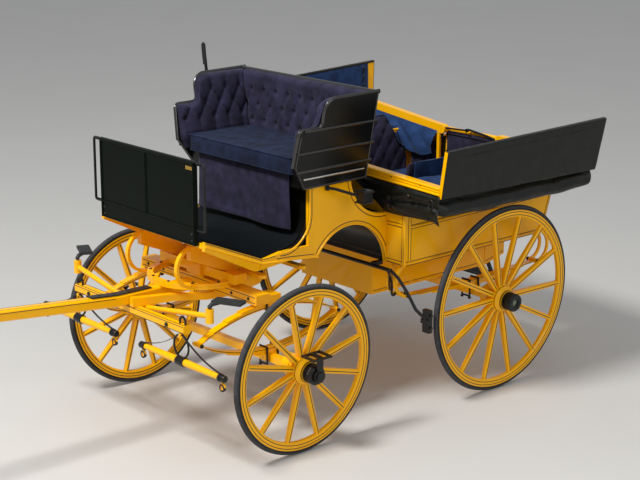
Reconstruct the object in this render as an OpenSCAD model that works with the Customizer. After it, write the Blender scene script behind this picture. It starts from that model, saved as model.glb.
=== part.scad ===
// Horse-drawn wagonette with a driver's box seat, a rear passenger body and a hood in two halves.
// +X is the carriage's left, the pole points to -Y, +Z is up. The wheels stand on z = 0.
// Every module draws with y counted from the front axle; from_axle() then moves it into the frame.

/* [Wheels and axles] */
// Outer radius of the front tyres
front_wheel_r = 457; // [430:1:480]
// Outer radius of the rear tyres
rear_wheel_r = 547; // [500:1:560]
// Distance between the axles
wheelbase = 1467; // [1440:1:1520]
// Distance between the front tyres' middles at hub height
front_track = 1482; // [1460:1:1520]
// Distance between the rear tyres' middles at hub height
rear_track = 1528; // [1500:1:1560]
// Outward lean of each wheel in degrees
camber = 2.6; // [0:0.1:3]
// Spokes in a front wheel
front_spokes = 12; // [10:2:14]
// Spokes in a rear wheel
rear_spokes = 14; // [12:2:16]
// Width of the rubber tyre
tyre_w = 29; // [25:1:32]
// Radial depth of the wooden felloe
felloe_depth = 43; // [36:1:50]
// Width of the wooden felloe
felloe_w = 36; // [32:1:40]

/* [Body] */
// Width of the driver's boot and footboard
boot_w = 910; // [880:10:930]
// Width of the passenger body
body_w = 1200; // [1160:10:1230]
// Thickness of the body panels
panel_t = 22; // [16:1:26]
// Height of the passenger body's top rail
waist_z = 1262; // [1240:1:1270]
// Height of the passenger body's bottom edge
body_bottom_z = 815; // [800:1:830]
// Width of the passengers' footwell
well_w = 600; // [560:10:640]
// Underside of the passengers' footwell
well_bottom_z = 578; // [560:1:600]

/* [Driver's seat] */
// Underside of the driver's seat
seat_z = 1322; // [1310:1:1330]
// Height of the driver's backrest above the seat's underside
seat_back_h = 486; // [440:1:500]
// Outward flare of the seat's sides in degrees
seat_flare = 11; // [8:0.5:13]

/* [Hood] */
// Distance from the middle to each hood hinge
hood_hinge_x = 240; // [232:1:250]
// Height of the hood hinges
hood_hinge_z = 1314; // [1308:1:1320]
// Length of the hood pillars from hinge to roof board
pillar_len = 632; // [600:2:640]

/* [Pole and fore-carriage] */
// Distance of the kingpin ahead of the front axle
kingpin_lead = 100; // [80:5:120]
// Mean radius of the fifth wheel
ring_r = 262; // [240:1:280]
// Distance from the front axle to the pole's head
pole_reach = 3200; // [2900:50:3400]
// Rise of the pole in degrees
pole_rise = 5.2; // [3:0.1:6]

/* [Hidden] */
$fn = 48;

// clearances
slide_gap = 0.4;
pin_gap = 0.05;
move_gap = 6;

// frame
pole_head_len = 120;
rear_reach = 2190;
front_axle_y = (pole_reach - rear_reach) / 2;

// wheels
tyre_half = tyre_w / 2;
tyre_depth = 26;
front_hub_z = (front_wheel_r - tyre_half) * cos(camber) + tyre_half;
rear_hub_z = (rear_wheel_r - tyre_half) * cos(camber) + tyre_half;
nave_r = 74;
nave_in = 108;
nave_out = 58;
dish = 16;
arm_r = 22;
cap_r = 52;
cap_len = 64;
arm_inset = nave_in + dish + 4;
front_axle_half = front_track / 2 - arm_inset;
rear_axle_half = rear_track / 2 - arm_inset;

// boot
boot_half = boot_w / 2;
floor_front = [-404, 1135];
floor_back = [-36, 982];
floor_t = 24;
toe_r = 170;
toe_centre = [110, 1175];
arch_r = 268;
arch_centre = [575, 797];
scoop_r = 245;
scoop_centre = [820, 1345];
wall_y = 845;

// passenger body
body_half = body_w / 2;
rear_y = 2060;
bench_z = 948;
well_half = well_w / 2;
well_t = 16;
well_front_y = 885;
door_half = 244;
door_top_z = 1310;
door_bottom_z = 634;
door_t = 26;
bench_front_x = well_half + 2;

// driver's seat
seat_half = 462;
seat_front_y = 212;
seat_rear_y = 650;
seat_board_z = 1395;
seat_t = 16;
seat_lap = 5;

// hood
hood_front_y = 815;
hood_rear_y = 2026;
pillar_w = 44;
pillar_h = 52;
pillar_droop = 28;
board_t = 22;
board_w = 1217;
knuckle_r = 27.5;
board_x = hood_hinge_x + pillar_len;
board_drop = 62;
board_lean = 10;
board_splay = 2;
hood_right_rest = 9;
board_h = (hood_hinge_x - 3 + board_drop) / cos(board_lean);
board_z = hood_hinge_z - board_drop;

// fore-carriage
kingpin_r = 14;
ring_w = 34;
ring_t = 14;
ring_z = 818;
bed_y = -75;
front_spring_x = 460;
front_eye_half = 462;
front_eye_z = 622;
bar_y = -550;
bar_z = 728;
step_bar_y = -500;
futchell_angle = 10.6;
tree_x = 460;
tree_y = -566;
tree_z = 560;
tree_half = 350;
pole_w = 62;
pole_bend_y = -640;
pole_z = 785;

// rear springs
rear_spring_x = 520;
rear_eye_half = 545;
rear_eye_z = 622;
leaf_w = 44;
leaf_t = 7;

module from_axle() translate([0, front_axle_y, 0]) children();

module both_sides() {
    children();
    mirror([1, 0, 0]) children();
}

// An outline drawn as (y, z), given thickness across the carriage from x0 on.
module side_profile(x0, thickness)
    translate([x0, 0, 0]) rotate([90, 0, 90]) linear_extrude(thickness) children();

// An outline drawn as (x, z), given thickness rearwards from y0 on.
module front_profile(y0, thickness)
    translate([0, y0 + thickness, 0]) rotate([90, 0, 0]) linear_extrude(thickness) children();

function arc_points(centre, r, a0, a1, n = 8) =
    [for (i = [0 : n]) centre + r * [cos(a0 + (a1 - a0) * i / n), sin(a0 + (a1 - a0) * i / n)]];

module block(low, high) translate(low) cube(high - low);

module rod(from, to, r) {
    reach = to - from;
    translate(from)
        rotate([0, acos(reach[2] / norm(reach)), atan2(reach[1], reach[0])])
            cylinder(h = norm(reach), r = r, $fn = 24);
}

module bent_rod(points, r) {
    for (i = [0 : len(points) - 2]) rod(points[i], points[i + 1], r);
    for (p = points) translate(p) sphere(r * 1.04, $fn = 24);
}

// A band of the given depth outside radius r, from angle a0 to a1, about the outline's origin.
module arc_band(r, depth, a0, a1) {
    far = 3 * (r + depth);
    intersection() {
        difference() {
            circle(r + depth, $fn = 96);
            circle(r, $fn = 96);
        }
        polygon([[0, 0], for (i = [0 : 4]) far * [cos(a0 + (a1 - a0) * i / 4), sin(a0 + (a1 - a0) * i / 4)]]);
    }
}

// ---- Wheels: the axle line is +X, the tyre's middle plane is x = 0 ----

module place_wheel(track, y, hub_z)
    from_axle() translate([track / 2, y, hub_z]) rotate([0, camber, 0]) children();

module spoke(r_in, r_out, n) {
    lean = atan(dish / (r_out - r_in));
    for (i = [0 : n - 1])
        rotate([(i + 0.5) * 360 / n, 0, 0]) translate([-dish, 0, r_in]) rotate([0, lean, 0])
            intersection() {
                cylinder(h = r_out - r_in, r1 = 21, r2 = 15, $fn = 32);
                translate([-30, -14, -1]) cube([60, 28, r_out - r_in + 2]);
            }
}

module wooden_wheel(radius, n) {
    rim = radius - tyre_depth;
    inner = rim - felloe_depth;
    rotate([0, 90, 0]) rotate_extrude($fn = 120)
        polygon([[inner, -felloe_w / 2 + 9], [inner + 9, -felloe_w / 2], [rim, -felloe_w / 2],
            [rim, felloe_w / 2], [inner + 9, felloe_w / 2], [inner, felloe_w / 2 - 9]]);
    spoke(62, inner + 6, n);
    translate([-dish, 0, 0]) rotate([0, 90, 0]) rotate_extrude()
        polygon([[arm_r + pin_gap, -nave_in], [50, -nave_in], [58, -nave_in + 8], [58, -nave_in + 24],
            [66, -44], [nave_r, -34], [nave_r, 30], [66, 38], [56, nave_out - 6], [56, nave_out],
            [arm_r + pin_gap, nave_out]]);
}

module rubber_tyre(radius)
    rotate([0, 90, 0]) rotate_extrude($fn = 120) intersection() {
        union() {
            translate([radius - tyre_depth, -tyre_half]) square([tyre_depth - tyre_half, tyre_w]);
            translate([radius - tyre_half, 0]) circle(tyre_half, $fn = 32);
        }
        translate([radius - tyre_depth, -tyre_w]) square([tyre_depth + 1, 2 * tyre_w]);
    }

module axle_cap(bore)
    translate([nave_out - dish, 0, 0]) rotate([0, 90, 0]) rotate_extrude()
        polygon([[bore, 0], [cap_r - 4, 0], [cap_r, 4], [cap_r, 12], [cap_r - 5, 14], [cap_r - 5, 44],
            [cap_r, 46], [cap_r, 56], [cap_r - 8, cap_len], [bore, cap_len]]);

module wheel_front_left() color("gold") place_wheel(front_track, 0, front_hub_z)
    wooden_wheel(front_wheel_r, front_spokes);
module wheel_front_right() mirror([1, 0, 0]) wheel_front_left();
module wheel_rear_left() color("gold") place_wheel(rear_track, wheelbase, rear_hub_z)
    wooden_wheel(rear_wheel_r, rear_spokes);
module wheel_rear_right() mirror([1, 0, 0]) wheel_rear_left();

module tyre_front_left() color("dimgray") place_wheel(front_track, 0, front_hub_z)
    rubber_tyre(front_wheel_r);
module tyre_front_right() mirror([1, 0, 0]) tyre_front_left();
module tyre_rear_left() color("dimgray") place_wheel(rear_track, wheelbase, rear_hub_z)
    rubber_tyre(rear_wheel_r);
module tyre_rear_right() mirror([1, 0, 0]) tyre_rear_left();

module hub_cap_front_left() color("black") place_wheel(front_track, 0, front_hub_z)
    axle_cap(arm_r + pin_gap);
module hub_cap_front_right() mirror([1, 0, 0]) hub_cap_front_left();
module hub_cap_rear_left() color("black") place_wheel(rear_track, wheelbase, rear_hub_z)
    axle_cap(arm_r + pin_gap);
module hub_cap_rear_right() mirror([1, 0, 0]) hub_cap_rear_left();

// ---- Axles and springs ----

module axle_arm(track, y, hub_z, beyond) translate([track / 2, y, hub_z]) rotate([0, camber, 0]) {
    rotate([0, 90, 0]) translate([0, 0, -arm_inset - 30])
        cylinder(h = arm_inset + 30 + nave_out - dish + beyond, r = arm_r);
    rotate([0, 90, 0]) translate([0, 0, -arm_inset - 10]) cylinder(h = 12, r = 40);
}

module front_axle() color("gold") from_axle() {
    both_sides() axle_arm(front_track, 0, front_hub_z, cap_len + 20);
    block([-front_axle_half, -20, front_hub_z - 20], [front_axle_half, 20, front_hub_z + 20]);
    both_sides() translate([front_spring_x, 0, 0])
        block([-26, -48, front_hub_z - 8], [26, 48, front_axle_top]);
}
front_axle_top = 480;

module rear_axle() color("gold") from_axle() {
    both_sides() axle_arm(rear_track, wheelbase, rear_hub_z, cap_len - 16);
    translate([0, wheelbase, 0])
        block([-rear_axle_half, -21, rear_hub_z - 21], [rear_axle_half, 21, rear_hub_z + 21]);
    both_sides() translate([rear_spring_x, wheelbase, 0])
        block([-28, -56, rear_hub_z - 8], [28, 56, rear_axle_top]);
}
rear_axle_top = 574;

// Half of a leaf spring as (y, z): bowed upwards between eyes at z = 0, shorter leaves outside.
module leaf_pack(eye_half, bow, leaves) {
    r = (eye_half * eye_half + bow * bow) / (2 * bow);
    half_angle = asin(eye_half / r);
    translate([0, bow - r]) for (i = [0 : leaves - 1])
        arc_band(r + i * leaf_t, leaf_t, 90 - half_angle * (1 - 0.2 * i), 90 + half_angle * (1 - 0.2 * i));
}

front_leaves = 5;
front_bow = front_eye_z - front_axle_top - front_leaves * leaf_t;

module elliptic_spring() translate([0, 0, front_eye_z]) {
    side_profile(-leaf_w / 2, leaf_w) {
        leaf_pack(front_eye_half, front_bow, front_leaves);
        mirror([0, 1]) leaf_pack(front_eye_half, front_bow, front_leaves);
    }
    for (s = [-1, 1]) translate([-leaf_w / 2 - 6, s * front_eye_half, 0]) rotate([0, 90, 0])
        cylinder(h = leaf_w + 12, r = 13);
}

module front_springs() color("gold") from_axle() both_sides() translate([front_spring_x, 0, 0])
    elliptic_spring();

bed_bottom_z = front_eye_z + front_bow + front_leaves * leaf_t;

rear_leaves = 5;
rear_bow = rear_eye_z - rear_axle_top - rear_leaves * leaf_t;

module rear_springs() color("gold") from_axle() both_sides()
    translate([rear_spring_x, wheelbase, rear_eye_z]) {
        side_profile(-leaf_w / 2, leaf_w) mirror([0, 1]) leaf_pack(rear_eye_half, rear_bow, rear_leaves);
        for (s = [-1, 1]) translate([-leaf_w / 2, s * rear_eye_half, 0]) rotate([0, 90, 0])
            cylinder(h = leaf_w, r = 15);
    }

// Curved irons that hang the ends of the rear springs from the body's bottom rail.
module scroll_irons() color("gold") from_axle() both_sides() {
    front_eye = [wheelbase - rear_eye_half, rear_eye_z];
    rear_eye = [wheelbase + rear_eye_half, rear_eye_z];
    iron_r = (body_bottom_z - 9 - rear_eye_z) / 2;
    for (x = [rear_spring_x - leaf_w / 2 - 13, rear_spring_x + leaf_w / 2 + 1]) {
        side_profile(x, 12) {
            translate(front_eye + [0, iron_r]) arc_band(iron_r - 9, 18, 90, 270);
            translate(rear_eye + [0, iron_r]) arc_band(iron_r - 9, 18, -90, 90);
        }
    }
    for (e = [front_eye, rear_eye]) translate([rear_spring_x, e[0], body_bottom_z])
        block([-35, -60, -10], [35, 60, 0]);
}

// ---- Fore-carriage, which turns about the kingpin ----

module lower_bed() color("gold") from_axle() difference() {
    union() {
        block([-505, bed_y - 45, bed_bottom_z], [505, bed_y + 45, ring_z - 0.1]);
        block([-505, -40, bed_bottom_z], [-415, 45, ring_z - 14]);
        block([415, -40, bed_bottom_z], [505, 45, ring_z - 14]);
        translate([0, -kingpin_lead, ring_z - 1]) difference() {
            cylinder(h = ring_t + 1, r = ring_r + ring_w / 2, $fn = 96);
            translate([0, 0, -1]) cylinder(h = ring_t + 3, r = ring_r - ring_w / 2, $fn = 96);
        }
        translate([-60, bed_y - 45, ring_z - 1]) cube([120, 90, ring_t + 1]);
    }
    translate([0, -kingpin_lead, bed_bottom_z - 1]) cylinder(h = 90, r = kingpin_r + pin_gap);
}

module futchells() color("gold") from_axle() both_sides()
    translate([52, bar_y - 30, 0]) rotate([0, 0, -futchell_angle]) side_profile(-18, 36)
        polygon([[0, 752], [250, 748], [430, bed_bottom_z - 38], [560, bed_bottom_z - 38], [640, 742],
            [740, 768], [760, 790], [760, ring_z - 1], [700, ring_z - 1], [624, 778], [568, bed_bottom_z - 1],
            [420, bed_bottom_z - 1], [250, 786], [0, 800]]);

module splinter_bar() color("gold") from_axle() {
    intersection() {
        rod([-490, bar_y, bar_z], [490, bar_y, bar_z], 27);
        block([-490, bar_y - 23, bar_z - 23], [490, bar_y + 23, bar_z + 23]);
    }
    both_sides() {
        rod([70, step_bar_y, 735], [590, step_bar_y + 15, 810], 14);
        block([80, bar_y, bar_z - 15], [120, step_bar_y + 5, bar_z + 12]);
        translate([590, step_bar_y + 15, 775]) cylinder(h = 70, r = 21);
    }
}

module tread_steps() color("black") from_axle() both_sides() {
    bent_rod([[590, step_bar_y + 15, 858], [594, step_bar_y + 27, 870], [604, step_bar_y + 58, 874]], 11);
    translate([640, step_bar_y + 95, 872]) rotate([0, 0, 25]) block([-80, -34, 0], [80, 34, 14]);
}

module rounded_square(side) intersection() {
    square(side, center = true);
    circle(side * 0.6);
}

module pole() color("gold") from_axle() {
    head_z = pole_z + tan(pole_rise) * (pole_reach + pole_bend_y - pole_head_len);
    translate([0, -170, pole_z]) rotate([90, 0, 0])
        linear_extrude(-pole_bend_y - 170) rounded_square(pole_w);
    hull() {
        translate([0, pole_bend_y + 1, pole_z]) rotate([90, 0, 0])
            linear_extrude(2) rounded_square(pole_w);
        translate([0, -pole_reach + pole_head_len, head_z]) rotate([90, 0, 0])
            linear_extrude(2) rounded_square(44);
    }
}

// Iron cap, upright eye and cross-head at the pole's front end.
module pole_head() color("black") from_axle()
    translate([0, -pole_reach, pole_z + tan(pole_rise) * (pole_reach + pole_bend_y - pole_head_len)]) {
        difference() {
            union() {
                rotate([-90, 0, 0]) cylinder(h = pole_head_len - 3, r = 25);
                translate([0, 20, -26]) cylinder(h = 52, r = 20);
            }
            translate([0, 20, -40]) cylinder(h = 80, r = pole_eye_r);
        }
        both_sides() rod([20, 60, 0], [75, 60, 12], 9);
    }
pole_eye_r = 11;

module swingletree() translate([tree_x, tree_y, tree_z]) {
    both_sides() {
        rotate([0, 90, 0]) cylinder(h = tree_half - 40, r1 = 20, r2 = 15);
        translate([tree_half - 40, 0, 0]) rotate([0, 90, 0]) cylinder(h = 40, r = 17);
        difference() {
            translate([tree_half - 20, 0, -44]) rotate([90, 0, 0]) translate([0, 0, -5])
                cylinder(h = 10, r = 20);
            translate([tree_half - 20, 0, -48]) rotate([90, 0, 0]) translate([0, 0, -8])
                cylinder(h = 16, r = trace_eye_r);
        }
    }
    rotate([0, 90, 0]) translate([0, 0, -24]) cylinder(h = 48, r = 22);
    translate([0, 0, 79]) rotate([90, 0, 0]) rotate_extrude() translate([60, 0]) circle(5, $fn = 24);
}
trace_eye_r = 11;

module swingletrees() color("gold") from_axle() both_sides() {
    swingletree();
    difference() {
        block([tree_x - 8, tree_y - 10, tree_z + 130], [tree_x + 8, bar_y + 22, bar_z - 24]);
        translate([tree_x - 20, tree_y, tree_z + 128]) rotate([0, 90, 0]) cylinder(h = 40, r = 7);
    }
}

module hub_steps() color("black") both_sides() place_wheel(front_track, 0, front_hub_z) {
    outer = nave_out - dish + cap_len + 6;
    translate([outer, 0, 0]) rotate([0, 90, 0]) difference() {
        cylinder(h = 12, r = 34);
        translate([0, 0, -1]) cylinder(h = 14, r = arm_r + 0.02);
    }
    block([outer, -18, 28], [outer + 12, 18, 98]);
    difference() {
        block([outer - 70, -62, 98], [outer + 30, 62, 108]);
        for (s = [-1, 1]) block([outer - 56, s * 30 - 18, 90], [outer + 16, s * 30 + 18, 120]);
    }
}

// ---- Body irons under the boot, with the kingpin and the upper wheel plate ----

module body_irons() color("gold") from_axle() {
    top_plate_z = ring_z + ring_t + 1;
    translate([0, -kingpin_lead, 0]) {
        translate([0, 0, top_plate_z]) difference() {
            cylinder(h = ring_t, r = ring_r + ring_w / 2, $fn = 96);
            translate([0, 0, -1]) cylinder(h = ring_t + 2, r = ring_r - ring_w / 2, $fn = 96);
        }
        translate([0, 0, bed_bottom_z - 30]) cylinder(h = 110, r = kingpin_r);
        block([-60, -40, top_plate_z], [60, 60, top_plate_z + 60]);
    }
    block([-330, bed_y - 45, top_plate_z + 5], [330, bed_y + 35, 890]);
    both_sides() {
        block([195, -60, 888], [240, 334, 929]);
        side_profile(200, 35) polygon([[-58, 888], [-90, 888], [-330, 985], [-330, 1060], [-300, 1060],
            [-58, 958]]);
        side_profile(205, 24) difference() {
            translate([-300, 945]) arc_band(100, 16, 90, 270);
            translate([-390, 700]) square([10, 10]);
        }
    }
    for (y = [0, 270]) difference() {
        union() {
            block([-400, y - 20, 872], [400, y + 20, 890]);
            both_sides() translate([405, y, 872]) cylinder(h = 18, r = 25);
        }
        both_sides() translate([405, y, 860]) cylinder(h = 40, r = 9);
    }
}

// ---- Driver's boot ----

module boot_outline() difference() {
    polygon([[-60, 932], floor_back, [toe_centre[0], toe_centre[1] - toe_r], [280, 1005], [280, seat_z],
        [577, seat_z], [wall_y, seat_z], [wall_y, body_bottom_z], [336, 930], [144, 948]]);
    translate(arch_centre) circle(arch_r, $fn = 96);
    translate(scoop_centre) circle(scoop_r, $fn = 96);
    toe_hollow();
}

// The footwell's rounded heel, between the floor and the riser.
module toe_hollow() {
    translate(toe_centre) circle(toe_r, $fn = 96);
    translate([toe_centre[0], toe_centre[1]]) square([toe_r, 200]);
    translate([-60, toe_centre[1] - toe_r]) square([170, 330]);
}

module boot_panels() color("gold") from_axle() both_sides()
    side_profile(boot_half - panel_t, panel_t) boot_outline();

module boot_shell() color("black") from_axle()
    side_profile(-boot_half + panel_t + slide_gap, boot_w - 2 * panel_t - 2 * slide_gap) {
        translate(toe_centre) arc_band(toe_r, 14, 270, 360);
        translate([toe_centre[0] + toe_r, toe_centre[1]]) square([14, seat_z - toe_centre[1] - 1]);
        polygon([[toe_centre[0] - 20, 948], [336, 931], [336, 945], [toe_centre[0] - 20, 962]]);
        translate([toe_centre[0] - 10, 955]) square([12, 48]);
        intersection() {
            translate(arch_centre) arc_band(arch_r, 12, 2, 150);
            translate([300, body_bottom_z]) square([wall_y - 300 - 0.5, 400]);
        }
        intersection() {
            translate(scoop_centre) arc_band(scoop_r, 12, 174, 262);
            translate([300, 900]) square([wall_y - 300 - 0.5, seat_z - 901]);
        }
        translate([wall_y - 8, 840]) square([7.5, 250]);
    }

// Sloping toe board and floor, with a raised moulding along each side.
module footboard() color("gold") from_axle() {
    heel = [toe_centre[0] - 12, toe_centre[1] - toe_r];
    side_profile(-boot_half + panel_t, boot_w - 2 * panel_t) polygon([
        floor_front, floor_back, heel, heel - [0, floor_t], floor_back - [6, floor_t],
        floor_front - [6, floor_t + 4]]);
    both_sides() side_profile(boot_half - panel_t, panel_t) polygon([
        floor_front + [0, 8], floor_back + [-2, 8], [-62, 932], [-90, 934], floor_front - [4, 40]]);
}

module dashboard() color("black") from_axle() {
    block([-412, -431, 1120], [412, -411, 1541]);
    both_sides() bent_rod([[402, -421, 1535], [478, -421, 1535], [478, -421, 1207], [402, -421, 1207]], 5);
}

// ---- Driver's seat ----

// The seat's side: a low arm in front that sweeps up to the backrest.
module seat_side_outline(inset) polygon(concat(
    [[seat_front_y + 8 + inset, inset], [138 + inset, 130]],
    arc_points([176, 300], 26 - inset, 180, 90),
    arc_points([270, 362], 36 + inset, 270, 360),
    arc_points([376, 410], 70 - inset, 180, 90),
    [[seat_rear_y + 17 - inset, seat_back_h - inset], [seat_rear_y + 17 - inset, inset]]));

module flared(x) translate([x, 0, seat_z]) rotate([0, seat_flare, 0]) children();

module driver_seat() color("black") from_axle() {
    both_sides() flared(seat_half - seat_lap) rotate([90, 0, 90]) linear_extrude(seat_t + seat_lap)
        seat_side_outline(0);
    back_top = seat_half + tan(seat_flare) * (seat_back_h - 14);
    front_profile(seat_rear_y, 12) polygon([[-seat_half, seat_z + 6], [seat_half, seat_z + 6],
        [back_top, seat_z + seat_back_h - 14], [-back_top, seat_z + seat_back_h - 14]]);
    block([-seat_half, seat_front_y, seat_board_z - 12], [seat_half, seat_rear_y, seat_board_z]);
    block([-seat_half, seat_front_y, seat_z], [seat_half, seat_front_y + 16, seat_board_z]);
    block([-seat_half, seat_front_y, seat_z], [seat_half, seat_rear_y + 5, seat_z + 12]);
}

module driver_cushion() color("midnightblue") from_axle()
    block([-440, 168, seat_board_z + 1], [440, 585, seat_board_z + 105]);

pad_t = 48;

module driver_backrest() color("darkslateblue") from_axle() {
    pad_bottom = 182;
    both_sides() flared(seat_half - seat_lap - (pad_t + slide_gap) / cos(seat_flare)) rotate([90, 0, 90]) linear_extrude(pad_t)
        intersection() {
            seat_side_outline(12);
            translate([0, pad_bottom]) square([seat_rear_y - pad_t - 10, 400]);
        }
    back_low = seat_half + tan(seat_flare) * pad_bottom - 64;
    back_high = seat_half + tan(seat_flare) * seat_back_h - 72;
    front_profile(seat_rear_y - pad_t - slide_gap, pad_t) polygon([
        [-back_low, seat_z + pad_bottom], [back_low, seat_z + pad_bottom],
        [back_high, seat_z + seat_back_h - 14], [-back_high, seat_z + seat_back_h - 14]]);
}

module seat_fall() color("darkslateblue") from_axle()
    block([-385, seat_front_y - 12, 1086], [385, seat_front_y - 1, seat_board_z]);

// ---- Passenger body ----

module front_wall() color("gold") from_axle() {
    front_profile(wall_y, panel_t) polygon([[-body_half, body_bottom_z], [body_half, body_bottom_z],
        [body_half, waist_z], [-body_half, waist_z]]);
    both_sides() block([hood_hinge_x - 15, wall_y + 3, waist_z - 12],
        [hood_hinge_x + 15, wall_y + panel_t - 3, hood_hinge_z - knuckle_r - 3]);
}

module side_panel() from_axle() side_profile(body_half - panel_t, panel_t)
    polygon([[wall_y + panel_t, body_bottom_z], [1985, body_bottom_z], [rear_y, 1035], [rear_y, waist_z],
        [wall_y + panel_t, waist_z]]);

module side_panel_left() color("gold") side_panel();
module side_panel_right() color("gold") mirror([1, 0, 0]) side_panel();

module rear_panels() color("gold") from_axle() both_sides() {
    side_profile(door_half + 6, body_half - panel_t - door_half - 6)
        polygon([[rear_y, waist_z], [rear_y, 1035], [1985, body_bottom_z], [1962, body_bottom_z],
            [rear_y - 23, 1039], [rear_y - 23, waist_z]]);
    block([door_half + 6, rear_y - 60, 700], [door_half + 40, rear_y - 22, waist_z]);
}

// Footwell between the benches, with the bench fronts and bench boards.
module passenger_well() color("goldenrod") from_axle() {
    inner_front = wall_y + panel_t;
    inner_rear = rear_y - 62;
    both_sides() {
        side_profile(well_half - well_t, well_t) polygon([[well_front_y, well_bottom_z],
            [well_rise_y, well_bottom_z], [inner_rear, sill_z], [inner_rear, body_bottom_z - 3],
            [1958, body_bottom_z - 3], [1996, 935], [1996, bench_z], [inner_front, bench_z],
            [inner_front, body_bottom_z], [well_front_y, body_bottom_z]]);
        block([well_half, inner_front, body_bottom_z], [body_half - panel_t, 1955, body_bottom_z + well_t]);
        block([well_half, inner_front, bench_z - 14], [body_half - panel_t, 1960, bench_z]);
    }
    side_profile(-well_half + well_t, well_w - 2 * well_t) polygon([[inner_front, body_bottom_z],
        [well_front_y, body_bottom_z], [well_front_y, well_bottom_z], [well_rise_y, well_bottom_z],
        [inner_rear, sill_z], [inner_rear, sill_z + well_t], [well_rise_y - 4, well_bottom_z + well_t],
        [well_front_y + well_t, well_bottom_z + well_t], [well_front_y + well_t, body_bottom_z + well_t],
        [inner_front, body_bottom_z + well_t]]);
}
well_rise_y = 1830;
sill_z = 620;

module bench_cushion() from_axle()
    block([bench_front_x, wall_y + panel_t + 3, bench_z + 1], [body_half - panel_t - 62, 1990, bench_z + 92]);
module bench_cushion_left() color("royalblue") bench_cushion();
module bench_cushion_right() color("royalblue") mirror([1, 0, 0]) bench_cushion();

module bench_back() from_axle()
    block([body_half - panel_t - 56, wall_y + panel_t + 3, bench_z + 20],
        [body_half - panel_t - 1, 2005, waist_z - 8]);
module bench_back_left() color("darkslateblue") bench_back();
module bench_back_right() color("darkslateblue") mirror([1, 0, 0]) bench_back();

// Door in the middle of the rear wall, hinged on its left post.
module rear_door() color("gold") from_axle() {
    block([-door_half, rear_y - door_t, door_bottom_z], [door_half, rear_y, door_top_z]);
    translate([-30, rear_y, 1120]) block([0, 0, 0], [60, 14, 10]);
    for (z = [760, 1180]) translate([door_half - 1, rear_y + 6, z - 25]) cylinder(h = 50, r = 6);
}

// ---- Hood, one half each side, folded out ----

// The pillars taper and droop a little towards the roof board; the board splays towards the rear.
module hood_half() {
    for (y = [hood_front_y, hood_rear_y - pillar_w]) {
        pillar_end = board_x + 14 + (y - hood_front_y) * tan(board_splay);
        front_profile(y, pillar_w) polygon([[hood_hinge_x + 4, hood_hinge_z - pillar_h / 2],
            [pillar_end, hood_hinge_z - pillar_droop - pillar_h / 2 + 4],
            [pillar_end, hood_hinge_z - pillar_droop + pillar_h / 2 - 4],
            [hood_hinge_x + 4, hood_hinge_z + pillar_h / 2]]);
        translate([hood_hinge_x, y + 2, hood_hinge_z]) rotate([-90, 0, 0])
            cylinder(h = pillar_w - 4, r = knuckle_r);
    }
    translate([board_x, hood_front_y, board_z]) rotate([0, 0, -board_splay]) rotate([0, board_lean, 0])
        side_profile(0, board_t) polygon([[3, 0], [board_w, 0], [board_w + 5, 22],
            [board_w + 19, board_h], [0, board_h - 42]]);
}
module hood_left() color("gold") from_axle() hood_half();
// The right half rests a little raised on its folded leather.
module hood_right() color("gold") from_axle() mirror([1, 0, 0])
    translate([hood_hinge_x, 0, hood_hinge_z]) rotate([0, -hood_right_rest, 0])
        translate([-hood_hinge_x, 0, -hood_hinge_z]) hood_half();

module folded_leather() {
    front_profile(wall_y + 4, hood_rear_y - wall_y - 8) polygon([[body_half + 1, 1100],
        [body_half + 120, 1105], [board_x + 12, 1150], [board_x + 8, 1236], [body_half + 1, 1236]]);
    front_profile(wall_y - 36, 35) polygon([[250, 1255], [470, 1112], [body_half + 1, 1100],
        [board_x + 6, 1150], [board_x + 4, 1236], [body_half, 1255]]);
}
module folded_leather_left() color("dimgray") from_axle() folded_leather();
module folded_leather_right() color("dimgray") from_axle() mirror([1, 0, 0]) folded_leather();

// ---- Brake, lamp brackets and rear step ----

module brake_gear() color("black") from_axle() {
    rod([-560, 785, 795], [560, 785, 795], 11);
    both_sides() {
        bent_rod([[560, 785, 795], [600, 800, 760], [640, 832, 680], [690, 850, 590],
            [rear_track / 2 - 8, 868, 540]], 9);
        translate([rear_track / 2 - 8, 0, 0]) block([-26, 862, 470], [26, 888, 600]);
        block([400, 780, 790], [420, wall_y + 12, body_bottom_z - 1]);
    }
    bent_rod([[-596, 405, 1950], [-590, 420, 1800], [-534, 480, 1330], [-514, 520, 1180],
        [-514, 560, 1100]], 9);
    rod([-514, 560, 1100], [-514, 785, 830], 6);
    rod([-514, 785, 830], [-514, 785, 795], 9);
}

module lamp_brackets() color("black") from_axle() both_sides() {
    bent_rod([[boot_half + 8, 400, 1300], [boot_half + 38, 428, 1296], [lamp_x - 20, lamp_y - 20, 1258]], 8);
    translate([lamp_x, lamp_y, 1220]) difference() {
        block([-28, -32, 0], [28, 32, 70]);
        translate([0, 0, 15]) cylinder(h = 80, r = lamp_stem_r);
    }
}
lamp_stem_r = 10;
lamp_x = 600;
lamp_y = 543;

module rear_step() color("black") from_axle() {
    both_sides() side_profile(130, 22) polygon([[1910, 588], [2010, 588], [2100, 410], [2180, 402],
        [2180, 390], [2092, 398], [1996, 574], [1910, 574]]);
    block([-175, 2080, 402], [175, rear_reach, 414]);
}

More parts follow.
